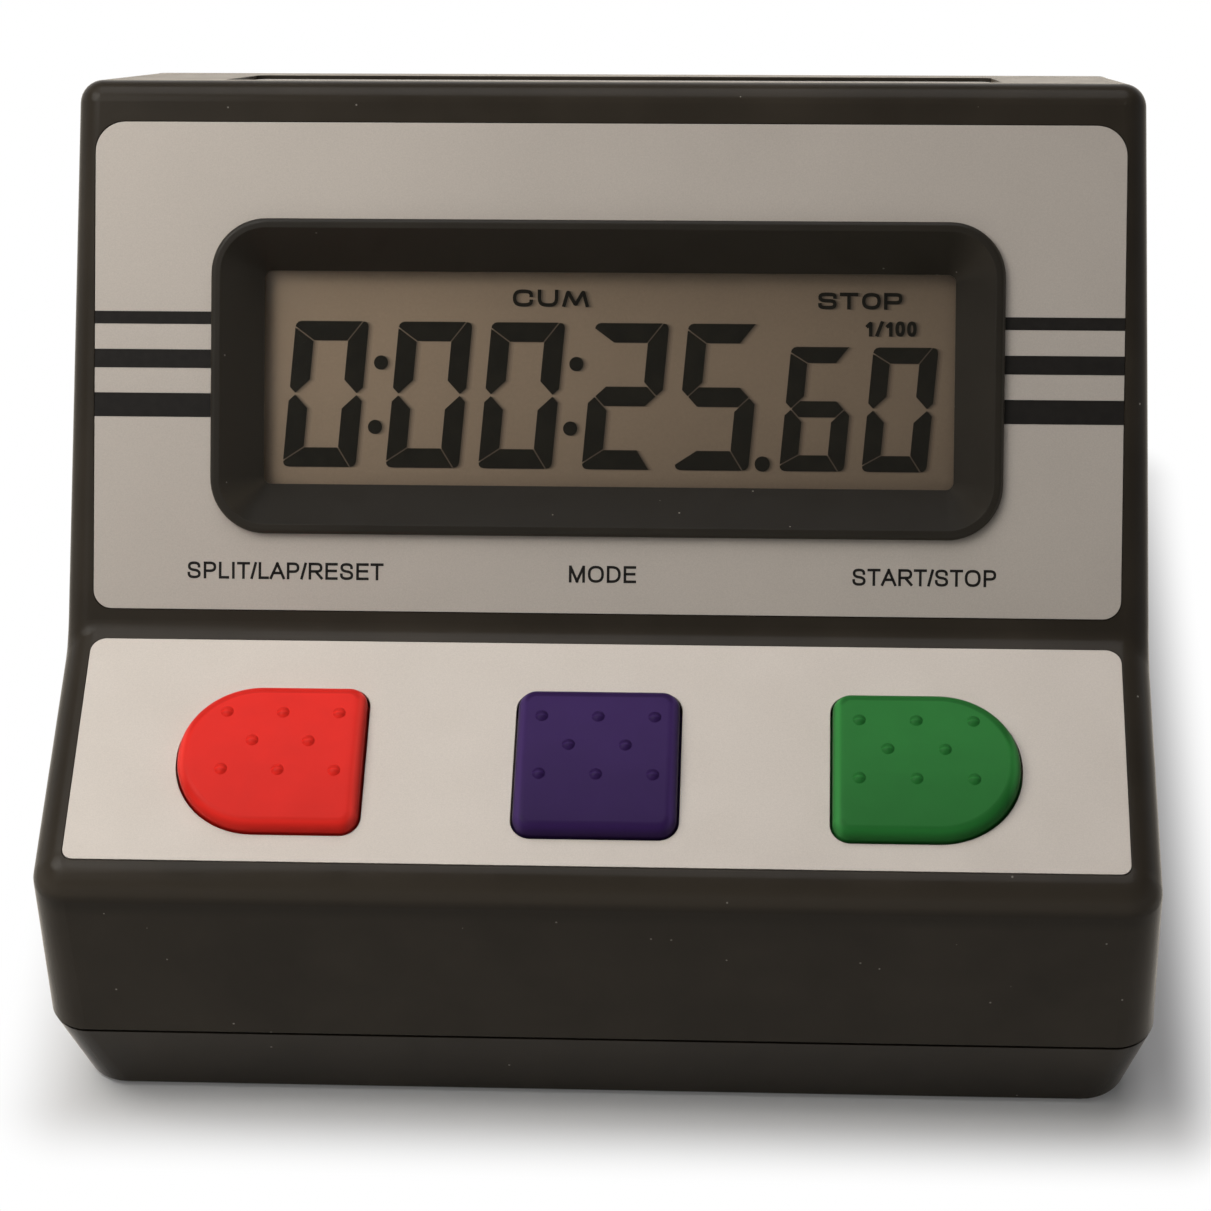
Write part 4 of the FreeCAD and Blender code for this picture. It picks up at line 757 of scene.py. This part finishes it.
# Words over the buttons: their heights on the label, the width of their strokes, and the ends of each
# word
LEGEND_SPAN = (-26.9, -24.75)
LEGEND_STROKE = 0.34
LEGENDS = {
    "legend_reset": ("SPLIT/LAP/RESET", (-52.9, -27.9)),
    "legend_mode": ("MODE", (-4.4, 4.1)),
    "legend_start": ("START/STOP", (31.3, 49.3)),
}


def legends():
    for name, (letters, x_span) in LEGENDS.items():
        drawing = written(letters, PRINTED, x_span, LEGEND_SPAN, LEGEND_STROKE, INK)
        drawing.piece(name, DISPLAY_FACE, 0, PRINT_INK, "component_black")


# Liquid crystal segments and words, just behind the window
SEGMENT_LEVEL = -0.07
SEGMENT_INK_DEPTH = 0.03
SLANT = math.tan(math.radians(5.0))
BASE_Y = -11.45

# Digits: the height and width of their two sizes, the widths of upright and level segments, and how far
# back the points of the middle segment lie
BIG = {"width": 9.6, "height": 18.85, "stroke": 2.66, "bar": 2.64, "tip": 0.85}
SMALL = {"width": 8.4, "height": 16.0, "stroke": 2.4, "bar": 2.2, "tip": 0.78}
SEGMENT_GAP = 0.15
CORNER = 0.8
CORNER_STEPS = 3
LIT = {"0": "ABCDEF", "2": "ABGED", "5": "AFGCD", "6": "AFEDCG"}
DIGITS = (
    ("0", BIG, -41.94),
    ("0", BIG, -28.64),
    ("0", BIG, -16.73),
    ("2", BIG, -3.44),
    ("5", BIG, 8.44),
    ("6", SMALL, 21.82),
    ("0", SMALL, 32.3),
)

# Dots of the colons and the point: the place along the base line, the height over it, and the radius
DOTS = (
    (-30.4, 5.25, 0.92),
    (-30.4, 13.5, 0.92),
    (-5.3, 5.25, 0.92),
    (-5.3, 13.5, 0.92),
    (19.67, 0.95, 0.98),
)
DOT_SIDES = 32

# Words on the display: their letters, their ends, and their lower and upper edges
WORD_STROKE = 0.46
WORDS = {
    "word_cum": ("CUM", (-12.35, -2.6), (9.33, 11.53)),
    "word_stop": ("STOP", (26.65, 37.35), (9.26, 11.4)),
    "word_hundredths": ("1/100", (32.75, 39.2), (5.85, 7.8)),
}


def segment_outlines(width, height, stroke, bar, tip):
    """The seven convex outlines of an upright digit, as wide as they would be without gaps."""
    middle = height / 2
    inside = width - stroke
    point = width - tip
    notch = stroke - tip
    top_left = arc((CORNER, height - CORNER), CORNER, 180, 90, CORNER_STEPS)
    top_right = arc((width - CORNER, height - CORNER), CORNER, 90, 0, CORNER_STEPS)
    low_left = arc((CORNER, CORNER), CORNER, 180, 270, CORNER_STEPS)
    low_right = arc((width - CORNER, CORNER), CORNER, 270, 360, CORNER_STEPS)
    return {
        "A": [(stroke, height - bar), (inside, height - bar), (width - CORNER, height), *top_left[::-1]],
        "B": [
            (inside, height - bar),
            (inside, middle + notch),
            (point, middle),
            (width, middle + tip),
            *top_right[::-1],
        ],
        "C": [*low_right, (width, middle - tip), (point, middle), (inside, middle - notch), (inside, bar)],
        "D": [*low_left, (width - CORNER, 0), (inside, bar), (stroke, bar)],
        "E": [(0, CORNER), (stroke, bar), (stroke, middle - notch), (tip, middle), (0, middle - tip)],
        "F": [
            (tip, middle),
            (stroke, middle + notch),
            (stroke, height - bar),
            (0, height - CORNER),
            (0, middle + tip),
        ],
        "G": [
            (tip, middle),
            (tip + bar / 2, middle - bar / 2),
            (point - bar / 2, middle - bar / 2),
            (point, middle),
            (point - bar / 2, middle + bar / 2),
            (tip + bar / 2, middle + bar / 2),
        ],
    }


def drawn_in(outline, inset):
    """A convex, counter-clockwise outline with each side moved in."""
    count = len(outline)
    result = []
    for k in range(count):
        before, here, after = (Vector(outline[(k + j) % count]) for j in (-1, 0, 1))
        way_in = (here - before).normalized()
        way_out = (after - here).normalized()
        inner = Vector((-way_in.y - way_out.y, way_in.x + way_out.x)).normalized()
        reach = inset / inner.dot(Vector((-way_in.y, way_in.x)))
        result.append(here + inner * reach)
    return result


def slanted(points, x, y):
    return [(x + px + (y + py - BASE_Y) * SLANT, y + py) for px, py in points]


def lit(name, drawing):
    """Makes a piece of the display from a drawing, and hands the drawing on."""
    drawing.piece(name, WINDOW_BACK, SEGMENT_LEVEL, SEGMENT_INK, "component_black")
    return drawing


def lit_digits():
    drawings = []
    for number, (figure, form, x) in enumerate(DIGITS):
        drawing = Drawing()
        outlines = segment_outlines(**form)
        for letter in LIT[figure]:
            inner = drawn_in(outlines[letter], SEGMENT_GAP / 2)
            drawing.plate(slanted(inner, x, BASE_Y), SEGMENT_INK_DEPTH)
        drawings.append(lit("digit_%d" % (number + 1), drawing))
    dots = Drawing()
    for x, y, radius in DOTS:
        ring = arc((x + y * SLANT, BASE_Y + y), radius, 0, 360, DOT_SIDES)
        dots.plate(ring[:-1], SEGMENT_INK_DEPTH)
    return drawings + [lit("colons_and_point", dots)]


def lit_words():
    drawings = []
    for name, (letters, x_span, y_span) in WORDS.items():
        drawing = written(letters, DISPLAYED, x_span, y_span, WORD_STROKE, SEGMENT_INK_DEPTH)
        drawings.append(lit(name, drawing))
    return drawings


# A painted shadow of the dark segments on the film behind them, made of darker copies in steps: how far each
# lies to the right and down, its level behind the window, and its share of the display's colour
SHADE_STEPS = (
    (0.2, 0.03, -0.083, 0.45),
    (0.4, 0.06, -0.09, 0.68),
    (0.62, 0.09, -0.097, 0.87),
)
SHADE_DEPTH = 0.006


def segment_shade(drawings):
    for number, (right, down, level, share) in enumerate(SHADE_STEPS):
        name = "segment_shade_%d" % (number + 1)
        shade = Drawing()
        for drawing in drawings:
            shade.repeat(drawing, right, -down, SHADE_DEPTH)
        # Each step of the painted shadow is the display's colour darkened by its share
        material = display_glass(name, [channel * share for channel in DISPLAY_COLOUR])
        shade.piece(name, WINDOW_BACK, level, material, "display_glass")


# Camera at the photograph's viewpoint
CAMERA_AT = (0.0240, -0.36074, 0.34972)
CAMERA_TURN = math.radians(4.04)
CAMERA_PITCH = math.radians(41.5)
CAMERA_ROLL = math.radians(-2.02)
LENS = 105.98
SENSOR = 36.0
NEAREST = 0.01


def camera():
    data = bpy.data.cameras.new("camera")
    data.lens = LENS
    data.sensor_width = SENSOR
    data.clip_start = NEAREST
    thing = bpy.data.objects.new("camera", data)
    turn = Matrix.Rotation(CAMERA_TURN, 4, "Z")
    tilt = Matrix.Rotation(math.pi / 2 - CAMERA_PITCH, 4, "X")
    roll = Matrix.Rotation(CAMERA_ROLL, 4, "Z")
    thing.matrix_world = Matrix.Translation(CAMERA_AT) @ turn @ tilt @ roll
    bpy.context.scene.collection.objects.link(thing)
    bpy.context.scene.camera = thing


# Lamps: their place, their width, their power in watts and their colour. All of them face one point.
LAMP_AIM = Vector((0, -0.02, 0.05))
WARM = (1.0, 0.975, 0.94)
COOL = (0.995, 0.985, 1.0)
MILD = (1.0, 0.985, 0.96)
LAMPS = {
    "key_lamp": ((-0.25, -0.05, 0.36), 0.20, 0.44, WARM),
    "near_lamp": ((-0.16, -0.10, 0.32), 0.16, 0.18, WARM),
    "top_lamp": ((0.0, 0.26, 1.1), 0.9, 4.85, COOL),
    "side_lamp": ((-0.35, 0.15, 0.8), 0.7, 1.21, MILD),
    "front_lamp": ((-0.25, -0.30, 0.38), 0.3, 0.23, MILD),
}


def lamps():
    for name, (at, size, watts, colour) in LAMPS.items():
        data = bpy.data.lights.new(name, "AREA")
        data.shape = "DISK"
        data.size = size
        data.energy = watts
        data.color = colour
        thing = bpy.data.objects.new(name, data)
        turn = (LAMP_AIM - Vector(at)).to_track_quat("-Z", "Y").to_matrix().to_4x4()
        thing.matrix_world = Matrix.Translation(at) @ turn
        bpy.context.scene.collection.objects.link(thing)


# What reflections meet, by the height of the way that they go: bright near the horizon and greyer
# overhead. The fill is the light from all sides.
SKY_HEIGHTS = (0.1, 0.6)
SKY_GLOWS = (1.0, 0.15)
FILL = 0.05


def world():
    """White where the camera or glass sees it, white to grey in reflections, and a soft fill."""
    surroundings = bpy.data.worlds.new("surroundings")
    tree = Tree(surroundings, "OutputWorld")
    path = tree.node("LightPath").outputs
    height = tree.axes(tree.coordinates["Generated"])["Z"]
    reflected = tree.span(height, *SKY_HEIGHTS, *SKY_GLOWS)
    unseen = tree.between(path["Is Glossy Ray"], FILL, reflected)
    seen = tree.maths("MAXIMUM", path["Is Camera Ray"], path["Is Transmission Ray"])
    tree.show(tree.node("Background", {"Color": WHITE, "Strength": tree.between(seen, unseen, 1.0)}))
    bpy.context.scene.world = surroundings


# The floor: its grey under the lamps and its tint in reflections. The white glow that the camera sees on
# it is weak under the object and full at some distance from it, so that the shadow stays close by.
FLOOR_SIZE = 4.0
FLOOR_GREY = (0.86, 0.86, 0.86, 1)
FLOOR_TINT = (1.0, 0.93, 0.83, 1)
SHADE_SHIFT = 0.002
SHADE_REACH = 0.012
SHADE_GLOW = 0.07


def floor():
    """A white floor that keeps the object's shadow, and is clear when seen from below."""
    half = FLOOR_SIZE / 2
    low, high = (Vector(corner) for corner in cad_bounds)
    mesh = bpy.data.meshes.new("floor")
    corners = [(-half, -half, 0), (half, -half, 0), (half, half, 0), (-half, half, 0)]
    mesh.from_pydata(corners, [], [(0, 1, 2, 3)])
    look = Look("floor")
    path = look.node("LightPath").outputs
    moved = look.node("Mapping", {"Vector": look.place, "Location": (-SHADE_SHIFT, 0, 0)})
    size = look.vector_maths("ABSOLUTE", moved.outputs[0])[0]
    past = look.vector_maths("SUBTRACT", size, (high - low) / 2)[0]
    outside = look.vector_maths("MAXIMUM", past)[0]
    distance = look.vector_maths("LENGTH", outside)["Value"]
    ramp = {"Value": distance, "From Max": SHADE_REACH, "To Min": SHADE_GLOW}
    fade = look.node("MapRange", ramp, interpolation_type="SMOOTHSTEP").outputs[0]
    seen = look.maths("MAXIMUM", path["Is Camera Ray"], path["Is Glossy Ray"])
    hue = look.blend(path["Is Glossy Ray"], WHITE, FLOOR_TINT)
    plain = look.node("BsdfDiffuse", {"Color": FLOOR_GREY})
    glowing = look.node("Emission", {"Color": hue})
    above = look.mixed(look.maths("MULTIPLY", seen, fade), plain, glowing)
    back = look.node("NewGeometry").outputs["Backfacing"]
    below = look.maths("MULTIPLY", back, path["Is Camera Ray"])
    look.show(look.mixed(below, above, look.node("BsdfTransparent")))
    mesh.materials.append(look.material)
    thing = bpy.data.objects.new("floor", mesh)
    bpy.context.scene.collection.objects.link(thing)


camera()
dress_frame()
for key in KEYS:
    rubber_dome(key)
stripes()
legends()
segment_shade(lit_digits() + lit_words())
lamps()
world()
floor()
bpy.context.scene.view_settings.view_transform = "Standard"

bpy.context.view_layer.update()
